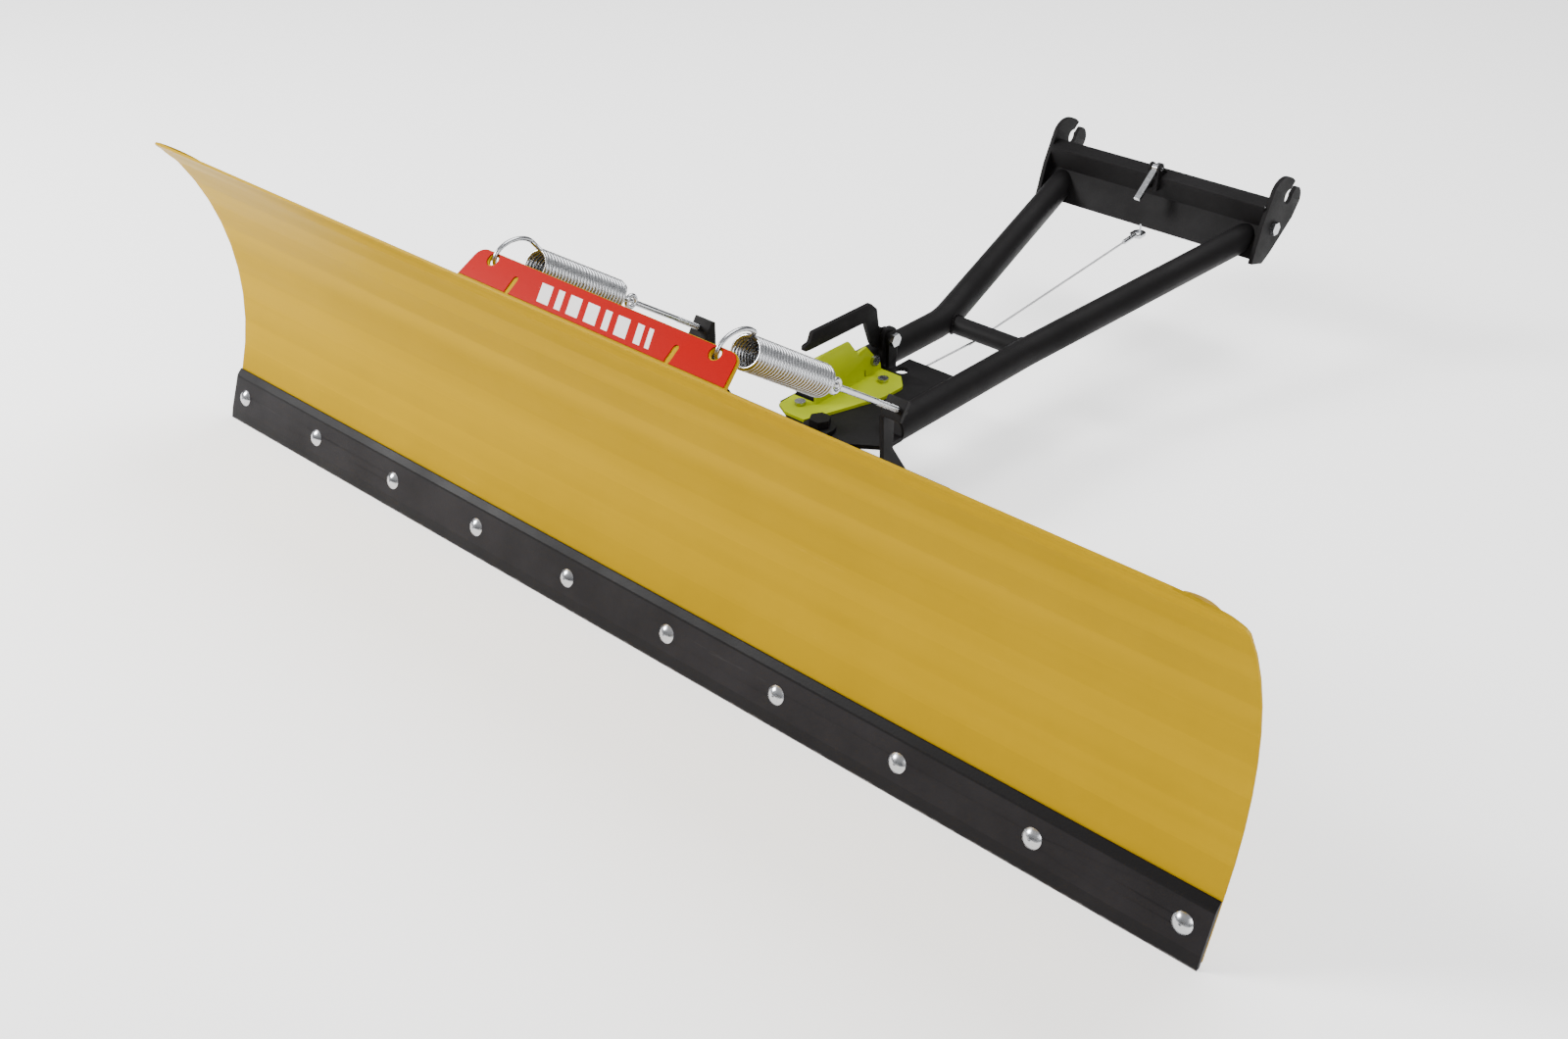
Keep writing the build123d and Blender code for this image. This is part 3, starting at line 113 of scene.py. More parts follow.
class PLOW_PG_moldboard(bpy.types.PropertyGroup):
    """Sizes of the bent sheet"""

    radius: bpy.props.FloatProperty(
        name="Roll radius", default=0.335, unit="LENGTH",
        description="Inner radius of the rolled sheet",
    )
    thickness: bpy.props.FloatProperty(
        name="Sheet thickness", default=0.003, unit="LENGTH",
        description="Thickness of the moldboard sheet",
    )
    lean: bpy.props.FloatProperty(
        name="Lean", default=math.radians(20), subtype="ANGLE",
        description="Angle at which the sheet's flat foot leans back",
    )
    roll_end: bpy.props.FloatProperty(
        name="Roll end", default=math.radians(34), subtype="ANGLE",
        description="Angle above level at which the even roll ends",
    )
    flats: bpy.props.IntProperty(
        name="Roll flats", default=9, min=3,
        description="Number of press-brake flats that make up the even roll",
    )
    foot_length: bpy.props.FloatProperty(
        name="Foot length", default=0.063, unit="LENGTH",
        description="Length of the flat foot below the roll",
    )
    top_length: bpy.props.FloatProperty(
        name="Top flat length", default=0.033, unit="LENGTH",
        description="Length of each of the two flats above the roll",
    )
    top_leans: bpy.props.FloatVectorProperty(
        name="Top leans", size=2, default=(math.radians(43), math.radians(49)), unit="ROTATION",
        description="Forward lean of the two flats above the roll",
    )
    corner: bpy.props.FloatVectorProperty(
        name="Corner cut", size=3, default=(0.046, 0.053, 0.006), unit="LENGTH",
        description="Top corner cut: along the length, down the sheet, and how far its curve bulges",
    )


class PLOW_PG_springs(bpy.types.PropertyGroup):
    """Sizes of the two trip springs"""

    wire: bpy.props.FloatProperty(
        name="Wire", default=0.005, unit="LENGTH",
        description="Wire diameter of the trip springs",
    )
    outer: bpy.props.FloatProperty(
        name="Outer diameter", default=0.038, unit="LENGTH",
        description="Outer diameter of the trip springs",
    )
    length: bpy.props.FloatProperty(
        name="Coil length", default=0.140, unit="LENGTH",
        description="Length of the closed coil",
    )
    turns: bpy.props.IntProperty(
        name="Turns", default=26, min=4,
        description="Number of turns in each trip spring",
    )


class PLOW_PG_stage(bpy.types.PropertyGroup):
    """Camera and floor"""

    lens: bpy.props.FloatProperty(
        name="Lens", default=40.5,
        description="Focal length of the camera in millimetres",
    )
    place: bpy.props.FloatVectorProperty(
        name="Camera place", subtype="XYZ", unit="LENGTH", default=(1.220, -1.058, 1.156),
        description="Where the camera stands",
    )
    turn: bpy.props.FloatVectorProperty(
        name="Camera turn", subtype="EULER",
        unit="ROTATION", default=(math.radians(57.9), 0.0, math.radians(42.2)),
        description="Rotation of the camera",
    )
    floor: bpy.props.FloatVectorProperty(
        name="Floor", subtype="COLOR", default=(0.95, 0.95, 0.95), min=0.0, max=1.0,
        description="Colour of the pale floor",
    )
    glow: bpy.props.FloatProperty(
        name="Floor glow", default=0.8, min=0.0,
        description="Light given off by the floor, as by a lit table",
    )


# ---- shader groups ----


def feed(tree, socket, value):
    """Links a socket into an input, or sets the input to a number or a colour."""
    if isinstance(value, bpy.types.NodeSocket):
        tree.links.new(value, socket)
    else:
        socket.default_value = value


def new_tree(name, kind, inputs, outputs):
    """An empty node tree with named inputs and outputs, and the sockets at its two ends."""
    tree = bpy.data.node_groups.new(name, kind)
    for label, socket_type, value in inputs:
        socket = tree.interface.new_socket(label, in_out="INPUT", socket_type=socket_type)
        if value is not None:
            socket.default_value = value
    for label, socket_type in outputs:
        tree.interface.new_socket(label, in_out="OUTPUT", socket_type=socket_type)
    return tree, tree.nodes.new("NodeGroupInput").outputs, tree.nodes.new("NodeGroupOutput").inputs


def noise(tree, vector, scale, detail=4.0, roughness=0.5):
    """A noise texture fed by a vector socket; scale is a number or a socket."""
    texture = tree.nodes.new("ShaderNodeTexNoise")
    tree.links.new(vector, texture.inputs["Vector"])
    feed(tree, texture.inputs["Scale"], scale)
    texture.inputs["Detail"].default_value = detail
    texture.inputs["Roughness"].default_value = roughness
    return texture.outputs["Fac"]


def ramp(tree, value, low, high, to_low=0.0, to_high=1.0):
    """A value stretched from low..high to to_low..to_high and held there."""
    mapper = tree.nodes.new("ShaderNodeMapRange")
    tree.links.new(value, mapper.inputs["Value"])
    mapper.inputs["From Min"].default_value = low
    mapper.inputs["From Max"].default_value = high
    mapper.inputs["To Min"].default_value = to_low
    mapper.inputs["To Max"].default_value = to_high
    return mapper.outputs["Result"]


def arithmetic(tree, operation, first, second):
    """One math node; each operand is a number or a socket."""
    maths = tree.nodes.new("ShaderNodeMath")
    maths.operation = operation
    for socket, value in zip(maths.inputs, (first, second)):
        feed(tree, socket, value)
    return maths.outputs["Value"]


def stretched(tree, vector, scale):
    """A vector multiplied by a fixed scale on each axis."""
    mapping = tree.nodes.new("ShaderNodeMapping")
    mapping.inputs["Scale"].default_value = scale
    tree.links.new(vector, mapping.inputs["Vector"])
    return mapping.outputs["Vector"]


def mixed(tree, factor, first, second):
    """A colour between two colours; each is a tuple or a socket."""
    mix = tree.nodes.new("ShaderNodeMix")
    mix.data_type = "RGBA"
    tree.links.new(factor, mix.inputs["Factor"])
    for socket, value in zip((mix.inputs[6], mix.inputs[7]), (first, second)):
        feed(tree, socket, (*value, 1.0) if isinstance(value, tuple) else value)
    return mix.outputs[2]


def coat_texture_group():
    """Sprayed or baked paint: a fine grain for the bump and a slow mottle for tone."""
    tree, given, made = new_tree(
        "coat_texture",
        "ShaderNodeTree",
        [("Vector", "NodeSocketVector", None), ("Grain", "NodeSocketFloat", 600.0)],
        [("Height", "NodeSocketFloat"), ("Mottle", "NodeSocketFloat")],
    )
    grain = noise(tree, given["Vector"], given["Grain"], 3.0, 0.6)
    slow = noise(tree, given["Vector"], 9.0, 5.0, 0.6)
    tree.links.new(grain, made["Height"])
    tree.links.new(ramp(tree, slow, 0.35, 0.65), made["Mottle"])
    return tree


def scuff_group():
    """Fine scratches and rubbed spots: a mask that is mostly nought, with thin marks."""
    tree, given, made = new_tree(
        "scuffs",
        "ShaderNodeTree",
        [("Vector", "NodeSocketVector", None), ("Amount", "NodeSocketFloat", 0.5)],
        [("Mask", "NodeSocketFloat")],
    )
    lines = noise(tree, stretched(tree, given["Vector"], (9.0, 160.0, 160.0)), 1.0, 6.0, 0.75)
    patch = noise(tree, given["Vector"], 14.0, 3.0)
    marks = arithmetic(tree, "MULTIPLY", ramp(tree, lines, 0.62, 0.74), ramp(tree, patch, 0.5, 0.66))
    tree.links.new(arithmetic(tree, "MULTIPLY", marks, given["Amount"]), made["Mask"])
    return tree


def ground_wear_group():
    """Wear that fades with height above the ground, broken up by noise."""
    tree, given, made = new_tree(
        "ground_wear",
        "ShaderNodeTree",
        [("Vector", "NodeSocketVector", None), ("Reach", "NodeSocketFloat", 0.02)],
        [("Mask", "NodeSocketFloat")],
    )
    split = tree.nodes.new("ShaderNodeSeparateXYZ")
    tree.links.new(given["Vector"], split.inputs["Vector"])
    height = arithmetic(tree, "DIVIDE", split.outputs["Z"], given["Reach"])
    rough = noise(tree, given["Vector"], 60.0, 6.0, 0.7)
    edge = arithmetic(tree, "SUBTRACT", rough, height)
    tree.links.new(ramp(tree, edge, 0.05, 0.3), made["Mask"])
    return tree


GROUPS = {}


def shared_group(tree, name, vector, **values):
    """Places a shared group in a material and feeds it the vector and its own numbers."""
    makers = {"coat_texture": coat_texture_group, "scuffs": scuff_group, "ground_wear": ground_wear_group}
    if name not in GROUPS:
        GROUPS[name] = makers[name]()
    placed = tree.nodes.new("ShaderNodeGroup")
    placed.node_tree = GROUPS[name]
    tree.links.new(vector, placed.inputs["Vector"])
    for label, value in values.items():
        placed.inputs[label.capitalize()].default_value = value
    return placed.outputs


# ---- materials ----

SCUFFED_YELLOW = (0.66, 0.42, 0.05)
BAR_DARK = (0.011, 0.0098, 0.0105)
BAR_LIGHT = (0.017, 0.0152, 0.0165)
# painted shade for the wear bar's top and foot bevels
BAR_BEVEL_SHADE = (0.005, 0.0045, 0.005)
BAR_SCUFF = (0.045, 0.043, 0.045)
BARE_STEEL = (0.16, 0.155, 0.15)
SIGN_WHITE = (0.86, 0.86, 0.86)
CABLE_GREY = (0.42, 0.42, 0.43)
BUSH_BLACK = (0.03, 0.03, 0.032)

# heights of the wear bar's two bevel edges, and half the width over which their painted shade fades in
TOP_BEVEL_Z = 55 * MM
FOOT_BEVEL_Z = 15 * MM
BEVEL_BLUR = 0.5 * MM

MATERIALS = {}
FLAT_SHADE_ATTRIBUTE = "flat_painted_shade"


def start_material(name):
    """A material with its shader and the object's own coordinates."""
    material = bpy.data.materials.new(name)
    material.use_nodes = True
    tree = material.node_tree
    coordinates = tree.nodes.new("ShaderNodeTexCoord").outputs["Object"]
    return material, tree, tree.nodes["Principled BSDF"], coordinates


def add_bump(tree, shader, height, strength, distance):
    """A bump from a height socket into the shader's normal."""
    bump = tree.nodes.new("ShaderNodeBump")
    bump.inputs["Strength"].default_value = strength
    bump.inputs["Distance"].default_value = distance
    tree.links.new(height, bump.inputs["Height"])
    tree.links.new(bump.outputs["Normal"], shader.inputs["Normal"])


def scaled(colour, factor):
    """A colour made darker or lighter."""
    return tuple(channel * factor for channel in colour)


def painted(name, colour, rough, grain, depth, dark=0.86, scuffs=0.3, specular=0.06):
    """Paint over steel: grain, slow mottle and light scuffs that leave it duller."""
    material, tree, shader, coordinates = start_material(name)
    texture = shared_group(tree, "coat_texture", coordinates, grain=grain)
    marks = shared_group(tree, "scuffs", coordinates, amount=scuffs)["Mask"]
    tone = mixed(tree, texture["Mottle"], scaled(colour, dark), colour)
    tree.links.new(mixed(tree, marks, tone, scaled(colour, 1.25)), shader.inputs["Base Color"])
    gloss = ramp(tree, texture["Mottle"], 0.0, 1.0, rough * 1.12, rough * 0.9)
    duller = arithmetic(tree, "MULTIPLY", marks, 0.2)
    tree.links.new(arithmetic(tree, "ADD", gloss, duller), shader.inputs["Roughness"])
    shader.inputs["Specular IOR Level"].default_value = specular
    add_bump(tree, shader, texture["Height"], 0.5, depth)
    return material


def moldboard_paint(colour):
    """The blade's yellow: faint lengthwise bands from the roll, painted shade that differs from flat to flat,
    orange peel and a little scuffing.
    """
    material, tree, shader, coordinates = start_material("moldboard_yellow")
    texture = shared_group(tree, "coat_texture", coordinates, grain=260.0)
    marks = shared_group(tree, "scuffs", coordinates, amount=0.35)["Mask"]
    bands = noise(tree, stretched(tree, coordinates, (0.5, 14.0, 22.0)), 1.0, 3.0, 0.55)
    banded = mixed(tree, ramp(tree, bands, 0.35, 0.65), scaled(colour, 0.84), colour)
    # painted shade: each press-brake flat is darkened by its own amount, read from the sheet's faces
    flats = tree.nodes.new("ShaderNodeAttribute")
    flats.attribute_name = FLAT_SHADE_ATTRIBUTE
    flat_shaded = mixed(tree, flats.outputs["Fac"], banded, scaled(colour, 0.72))
    tone = mixed(tree, ramp(tree, texture["Mottle"], 0.0, 1.0, 0.0, 0.25), flat_shaded, scaled(colour, 1.06))
    tree.links.new(mixed(tree, marks, tone, SCUFFED_YELLOW), shader.inputs["Base Color"])
    gloss = ramp(tree, bands, 0.3, 0.7, 0.44, 0.34)
    duller = arithmetic(tree, "MULTIPLY", marks, 0.25)
    tree.links.new(arithmetic(tree, "ADD", gloss, duller), shader.inputs["Roughness"])
    shader.inputs["Specular IOR Level"].default_value = 0.02
    add_bump(tree, shader, texture["Height"], 0.25, 0.0002)
    return material


def wear_bar_paint():
    """Charcoal paint on the wear bar, with painted shade on its top and foot bevels, rubbed to bare steel
    along its foot.
    """
    material, tree, shader, coordinates = start_material("wear_bar_charcoal")
    texture = shared_group(tree, "coat_texture", coordinates, grain=420.0)
    marks = shared_group(tree, "scuffs", coordinates, amount=0.5)["Mask"]
    worn = shared_group(tree, "ground_wear", coordinates, reach=0.004)["Mask"]
    tone = mixed(tree, texture["Mottle"], BAR_DARK, BAR_LIGHT)
    split = tree.nodes.new("ShaderNodeSeparateXYZ")
    tree.links.new(coordinates, split.inputs["Vector"])
    height = split.outputs["Z"]
    # painted shade: the top bevel is darkened fully and the foot bevel partly
    above = ramp(tree, height, TOP_BEVEL_Z - BEVEL_BLUR, TOP_BEVEL_Z + BEVEL_BLUR)
    below = ramp(tree, height, FOOT_BEVEL_Z + BEVEL_BLUR, FOOT_BEVEL_Z - BEVEL_BLUR, 0.0, 0.6)
    shaded = mixed(tree, arithmetic(tree, "MAXIMUM", above, below), tone, BAR_BEVEL_SHADE)
    rubbed = mixed(tree, marks, shaded, BAR_SCUFF)
    tree.links.new(mixed(tree, worn, rubbed, BARE_STEEL), shader.inputs["Base Color"])
    tree.links.new(ramp(tree, texture["Mottle"], 0.0, 1.0, 0.5, 0.4), shader.inputs["Roughness"])
    tree.links.new(worn, shader.inputs["Metallic"])
    shader.inputs["Specular IOR Level"].default_value = 0.1
    add_bump(tree, shader, texture["Height"], 0.4, 0.0003)
    return material


def plated(name, colour, rough, spangle=180.0, depth=0.00005):
    """Bright plated steel with a slight cloudiness and fine grain."""
    material, tree, shader, coordinates = start_material(name)
    texture = shared_group(tree, "coat_texture", coordinates, grain=spangle)
    tree.links.new(mixed(tree, texture["Mottle"], scaled(colour, 0.82), colour), shader.inputs["Base Color"])
    gloss = ramp(tree, texture["Height"], 0.3, 0.7, rough * 0.75, rough * 1.3)
    tree.links.new(gloss, shader.inputs["Roughness"])
    shader.inputs["Metallic"].default_value = 1.0
    add_bump(tree, shader, texture["Height"], 0.35, depth)
    return material


class PLOW_OT_finishes(bpy.types.Operator):
    """Make every material and give each CAD node the one that its slot asks for"""

    bl_idname = "plow.finishes"
    bl_label = "Finishes"

    def execute(self, context):
        colours = context.scene.plow_finish
        black = tuple(colours.black)
        zinc = tuple(colours.zinc)
        enamel = {"rough": 0.3, "grain": 240.0, "depth": 0.0001, "scuffs": 0.1}
        MATERIALS["yellow_paint"] = moldboard_paint(tuple(colours.yellow))
        MATERIALS["wear_steel"] = wear_bar_paint()
        MATERIALS["black_paint"] = painted(
            "powder_coat_black", black, 0.6, 700.0, 0.0006, dark=0.7, scuffs=0.25, specular=0.12
        )
        MATERIALS["lime_paint"] = painted("lock_bracket_lime", tuple(colours.lime), 0.34, 300.0, 0.0002)
        MATERIALS["red_paint"] = painted("sign_enamel_red", tuple(colours.red), dark=0.93, **enamel)
        MATERIALS["sign_white"] = painted("sign_enamel_white", SIGN_WHITE, dark=0.95, **enamel)
        MATERIALS["zinc"] = plated("bright_zinc", zinc, 0.24)
        MATERIALS["spring_steel"] = plated("zinc_spring_wire", scaled(zinc, 0.9), 0.24, 320.0)
        MATERIALS["cable_steel"] = plated("cable_wire", CABLE_GREY, 0.35, 900.0)
        MATERIALS["bush_plastic"] = painted("bush_plastic", BUSH_BLACK, 0.55, 700.0, 0.0002)
        MATERIALS["weld"] = painted("weld_under_black", black, 0.42, 1200.0, 0.0002, dark=0.8)
        for name, node in frame["nodes"].items():
            node.data.materials.clear()
            node.data.materials.append(MATERIALS[NODE_SLOT[name]])
        return {"FINISHED"}


# ---- mesh helpers ----


def link_mesh(name, mesh, body=None, replaced=()):
    """Links a finished mesh as a piece, rides it on a body and hides what it stands for."""
    piece = bpy.data.objects.new(name, mesh)
    bpy.context.scene.collection.objects.link(piece)
    if body:
        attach(piece, body)
    if replaced:
        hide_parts(*replaced)
    return piece


def mesh_from(name, bm, material, smooth=False):
    """A new mesh from a bmesh, in one material."""
    bmesh.ops.recalc_face_normals(bm, faces=bm.faces)
    for face in bm.faces:
        face.smooth = smooth
    mesh = bpy.data.meshes.new(name)
    bm.to_mesh(mesh)
    bm.free()
    mesh.materials.append(material)
    return mesh


def plain_mesh(carrier, name):
    """The evaluated object as a plain mesh; the carrier and its modifiers are removed."""
    bpy.context.view_layer.update()
    graph = bpy.context.evaluated_depsgraph_get()
    mesh = bpy.data.meshes.new_from_object(carrier.evaluated_get(graph), depsgraph=graph)
    mesh.name = name
    bpy.data.objects.remove(carrier)
    return mesh


def bevelled(mesh, width, angle):
    """The same mesh with its edges that fold by more than an angle in degrees rounded off."""
    carrier = bpy.data.objects.new("bevel_carrier", mesh)
    bpy.context.scene.collection.objects.link(carrier)
    bevel = carrier.modifiers.new("bevel", "BEVEL")
    bevel.width = width
    bevel.segments = 2
    bevel.limit_method = "ANGLE"
    bevel.angle_limit = math.radians(angle)
    bevel.use_clamp_overlap = True
    return plain_mesh(carrier, mesh.name)


def softened(node_name, width, crease):
    """A CAD node's shape, welded into one mesh, with its sharp edges rounded and its curves smooth."""
    bm = bmesh.new()
    bm.from_mesh(frame["nodes"][node_name].data)
    bmesh.ops.remove_doubles(bm, verts=bm.verts, dist=0.00001)
    bmesh.ops.dissolve_limit(bm, angle_limit=math.radians(0.5), verts=bm.verts, edges=bm.edges)
    bmesh.ops.triangulate(bm, faces=bm.faces)
    material = frame["nodes"][node_name].data.materials[0]
    mesh = mesh_from(f"{node_name}_soft", bm, material, smooth=True)
    mesh = bevelled(mesh, width, 35)
    mesh.set_sharp_from_angle(angle=math.radians(crease))
    return mesh


def curved(points, steps):
    """Points on a smooth line through the given points."""
    padded_points = [points[0] * 2 - points[1], *points, points[-1] * 2 - points[-2]]
    line = []
    for i in range(len(points) - 1):
        a, b, c, d = padded_points[i : i + 4]
        for k in range(steps):
            t = k / steps
            square = (2 * a - 5 * b + 4 * c - d) * t ** 2
            cube = (3 * b - a - 3 * c + d) * t ** 3
            line.append(0.5 * (2 * b + (c - a) * t + square + cube))
    return line + [points[-1]]


def path_object(name, lines):
    """A curve object with one straight-segment spline for each list of points."""
    curve = bpy.data.curves.new(name, "CURVE")
    curve.dimensions = "3D"
    for points in lines:
        spline = curve.splines.new("POLY")
        spline.points.add(len(points) - 1)
        for knot, point in zip(spline.points, points):
            knot.co = (*point, 1.0)
    carrier = bpy.data.objects.new(name, curve)
    bpy.context.scene.collection.objects.link(carrier)
    return carrier


# ---- geometry node trees ----


def new_shape_tree(name, inputs):
    """A geometry node tree with a geometry input and output and named number or material inputs."""
    shape = ("Geometry", "NodeSocketGeometry")
    return new_tree(name, "GeometryNodeTree", [(*shape, None), *inputs], [shape])


def finish_shape_tree(tree, geometry, material, outputs):
    """Realize, shade smooth and set the material, then the output."""
    realize = tree.nodes.new("GeometryNodeRealizeInstances")
    smooth = tree.nodes.new("GeometryNodeSetShadeSmooth")
    paint = tree.nodes.new("GeometryNodeSetMaterial")
    tree.links.new(geometry, realize.inputs["Geometry"])
    tree.links.new(realize.outputs["Geometry"], smooth.inputs["Geometry"])
    tree.links.new(smooth.outputs["Geometry"], paint.inputs["Geometry"])
    tree.links.new(material, paint.inputs["Material"])
    tree.links.new(paint.outputs["Geometry"], outputs["Geometry"])


def wire_tree():
    """Sweeps a round wire along every spline."""
    tree, given, made = new_shape_tree(
        "wire_along_path",
        [
            ("Wire Radius", "NodeSocketFloat", 0.002),
            ("Sides", "NodeSocketInt", 12),
            ("Finish", "NodeSocketMaterial", None),
        ],
    )
    ring = tree.nodes.new("GeometryNodeCurvePrimitiveCircle")
    tree.links.new(given["Sides"], ring.inputs["Resolution"])
    tree.links.new(given["Wire Radius"], ring.inputs["Radius"])
    sweep = tree.nodes.new("GeometryNodeCurveToMesh")
    sweep.inputs["Fill Caps"].default_value = True
    tree.links.new(given["Geometry"], sweep.inputs["Curve"])
    tree.links.new(ring.outputs["Curve"], sweep.inputs["Profile Curve"])
    finish_shape_tree(tree, sweep.outputs["Mesh"], given["Finish"], made)
    return tree


def bead_tree():
    """Lays overlapping flattened beads along every spline, as a weld does."""
    tree, given, made = new_shape_tree(
        "weld_beads",
        [
            ("Bead Radius", "NodeSocketFloat", 0.003),
            ("Pitch", "NodeSocketFloat", 0.003),
            ("Seed", "NodeSocketInt", 7),
            ("Finish", "NodeSocketMaterial", None),
        ],
    )
    points = tree.nodes.new("GeometryNodeResampleCurve")
    points.mode = "LENGTH"
    tree.links.new(given["Geometry"], points.inputs["Curve"])
    tree.links.new(given["Pitch"], points.inputs["Length"])
    bead = tree.nodes.new("GeometryNodeMeshUVSphere")
    bead.inputs["Segments"].default_value = 8
    bead.inputs["Rings"].default_value = 5
    flatten = tree.nodes.new("GeometryNodeTransform")
    flatten.inputs["Scale"].default_value = (0.8, 1.0, 1.0)
    tree.links.new(bead.outputs["Mesh"], flatten.inputs["Geometry"])
    tree.links.new(given["Bead Radius"], bead.inputs["Radius"])
    uneven = tree.nodes.new("FunctionNodeRandomValue")
    uneven.data_type = "FLOAT"
    uneven.inputs[2].default_value = 0.85
    uneven.inputs[3].default_value = 1.15
    tree.links.new(given["Seed"], uneven.inputs["Seed"])
    tangent = tree.nodes.new("GeometryNodeInputTangent")
    turn = tree.nodes.new("FunctionNodeAlignRotationToVector")
    turn.axis = "X"
    tree.links.new(tangent.outputs["Tangent"], turn.inputs["Vector"])
    lay = tree.nodes.new("GeometryNodeInstanceOnPoints")
    tree.links.new(points.outputs["Curve"], lay.inputs["Points"])
    tree.links.new(flatten.outputs["Geometry"], lay.inputs["Instance"])
    tree.links.new(turn.outputs["Rotation"], lay.inputs["Rotation"])
    tree.links.new(uneven.outputs[1], lay.inputs["Scale"])
    finish_shape_tree(tree, lay.outputs["Instances"], given["Finish"], made)
    return tree


TREES = {}


def grown(carrier, tree_name, name, **values):
    """Runs a geometry node tree on a carrier object and returns the result as a plain mesh."""
    makers = {"wire": wire_tree, "beads": bead_tree}
    if tree_name not in TREES:
        TREES[tree_name] = makers[tree_name]()
    modifier = carrier.modifiers.new("shape", "NODES")
    modifier.node_group = TREES[tree_name]
    identifiers = {
        item.name: item.identifier
        for item in TREES[tree_name].interface.items_tree
        if item.item_type == "SOCKET" and item.in_out == "INPUT"
    }
    for label, value in values.items():
        modifier[identifiers[label.replace("_", " ").title()]] = value
    return plain_mesh(carrier, name)


# ---- moldboard ----


ROUND_AT = 0.06  # share of a flat, at each of its ends, that its bend takes up
# painted shade of each flat in turn: how far its yellow is mixed towards a darker yellow
FLAT_PAINTED_SHADES = (0.1, 0.35, 0.0, 0.3, 0.05, 0.4, 0.15, 0.45, 0.1, 0.5, 0.3, 0.6)
FLAT_SHADE_OVERLAP = 10 * MM  # how far below its bend a flat's painted shade begins
CORNER_STEPS = 8
SHEET_COLUMNS = 10
SHEET_EDGE = 0.6 * MM


def sheet_lines(size):
    """The sheet's front and back lines, foot to top, in the CAD sheet's place, and its top flat's way."""
    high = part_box("moldboard")[1]
    step = (size.lean + size.roll_end) / size.flats
    angles = [step * i - size.lean for i in range(size.flats + 1)]
    front = [Vector((0, size.radius * math.cos(a), size.radius * math.sin(a))) for a in angles]
    back_radius = size.radius + size.thickness
    back = [Vector((0, back_radius * math.cos(a), back_radius * math.sin(a))) for a in angles]
    leans = list(size.top_leans)
    for i, lean in enumerate(leans):
        front.append(front[-1] + Vector((0, -math.sin(lean), math.cos(lean))) * size.top_length)
        square = (lean + leans[min(i + 1, len(leans) - 1)]) / 2
        back.append(front[-1] + Vector((0, math.cos(square), math.sin(square))) * size.thickness)
    foot_way = Vector((0, math.sin(size.lean), math.cos(size.lean)))
    front.insert(0, front[0] - foot_way * size.foot_length)
    back.insert(0, back[0] - foot_way * size.foot_length)
    reach_y = max(point.y for point in front + back)
    reach_z = max(point.z for point in front + back)
    shift = Vector((0, high.y - reach_y, high.z - reach_z))
    top_way = Vector((0, -math.sin(leans[-1]), math.cos(leans[-1])))
    return [point + shift for point in front], [point + shift for point in back], top_way


def rounded_rows(line, fine_from):
    """The line's points with each bend eased, and the flats from fine_from on cut into short steps."""
    rows = [line[0]]
    for i in range(1, len(line)):
        start, end = line[i - 1], line[i]
        first = 0.0 if i == 1 else ROUND_AT
        last = 1.0 if i == len(line) - 1 else 1 - ROUND_AT
        steps = CORNER_STEPS if i >= fine_from else 1
        for k in range(1 if i == 1 else 0, steps + 1):
            rows.append(start.lerp(end, first + (last - first) * k / steps))
    return rows


def corner_reach(half, corner):
    """A function that gives the sheet's half length at a distance (negative) below its top edge."""
    wide, deep, bulge = corner
    ends = (Vector((half, -deep)), Vector((half - wide, 0)))
    middle = (ends[0] + ends[1]) / 2 + Vector((bulge, bulge))
    a, b = middle - ends[0], ends[1] - ends[0]
    cross = 2 * (a.x * b.y - a.y * b.x)
    centre_x = (b.y * a.length_squared - a.y * b.length_squared) / cross
    centre_y = (a.x * b.length_squared - b.x * a.length_squared) / cross
    centre = ends[0] + Vector((centre_x, centre_y))
    radius = (ends[0] - centre).length

    def reach(below):
        if below <= -deep:
            return half
        return centre.x + math.sqrt(max(radius ** 2 - (below - centre.y) ** 2, 0))

    return reach


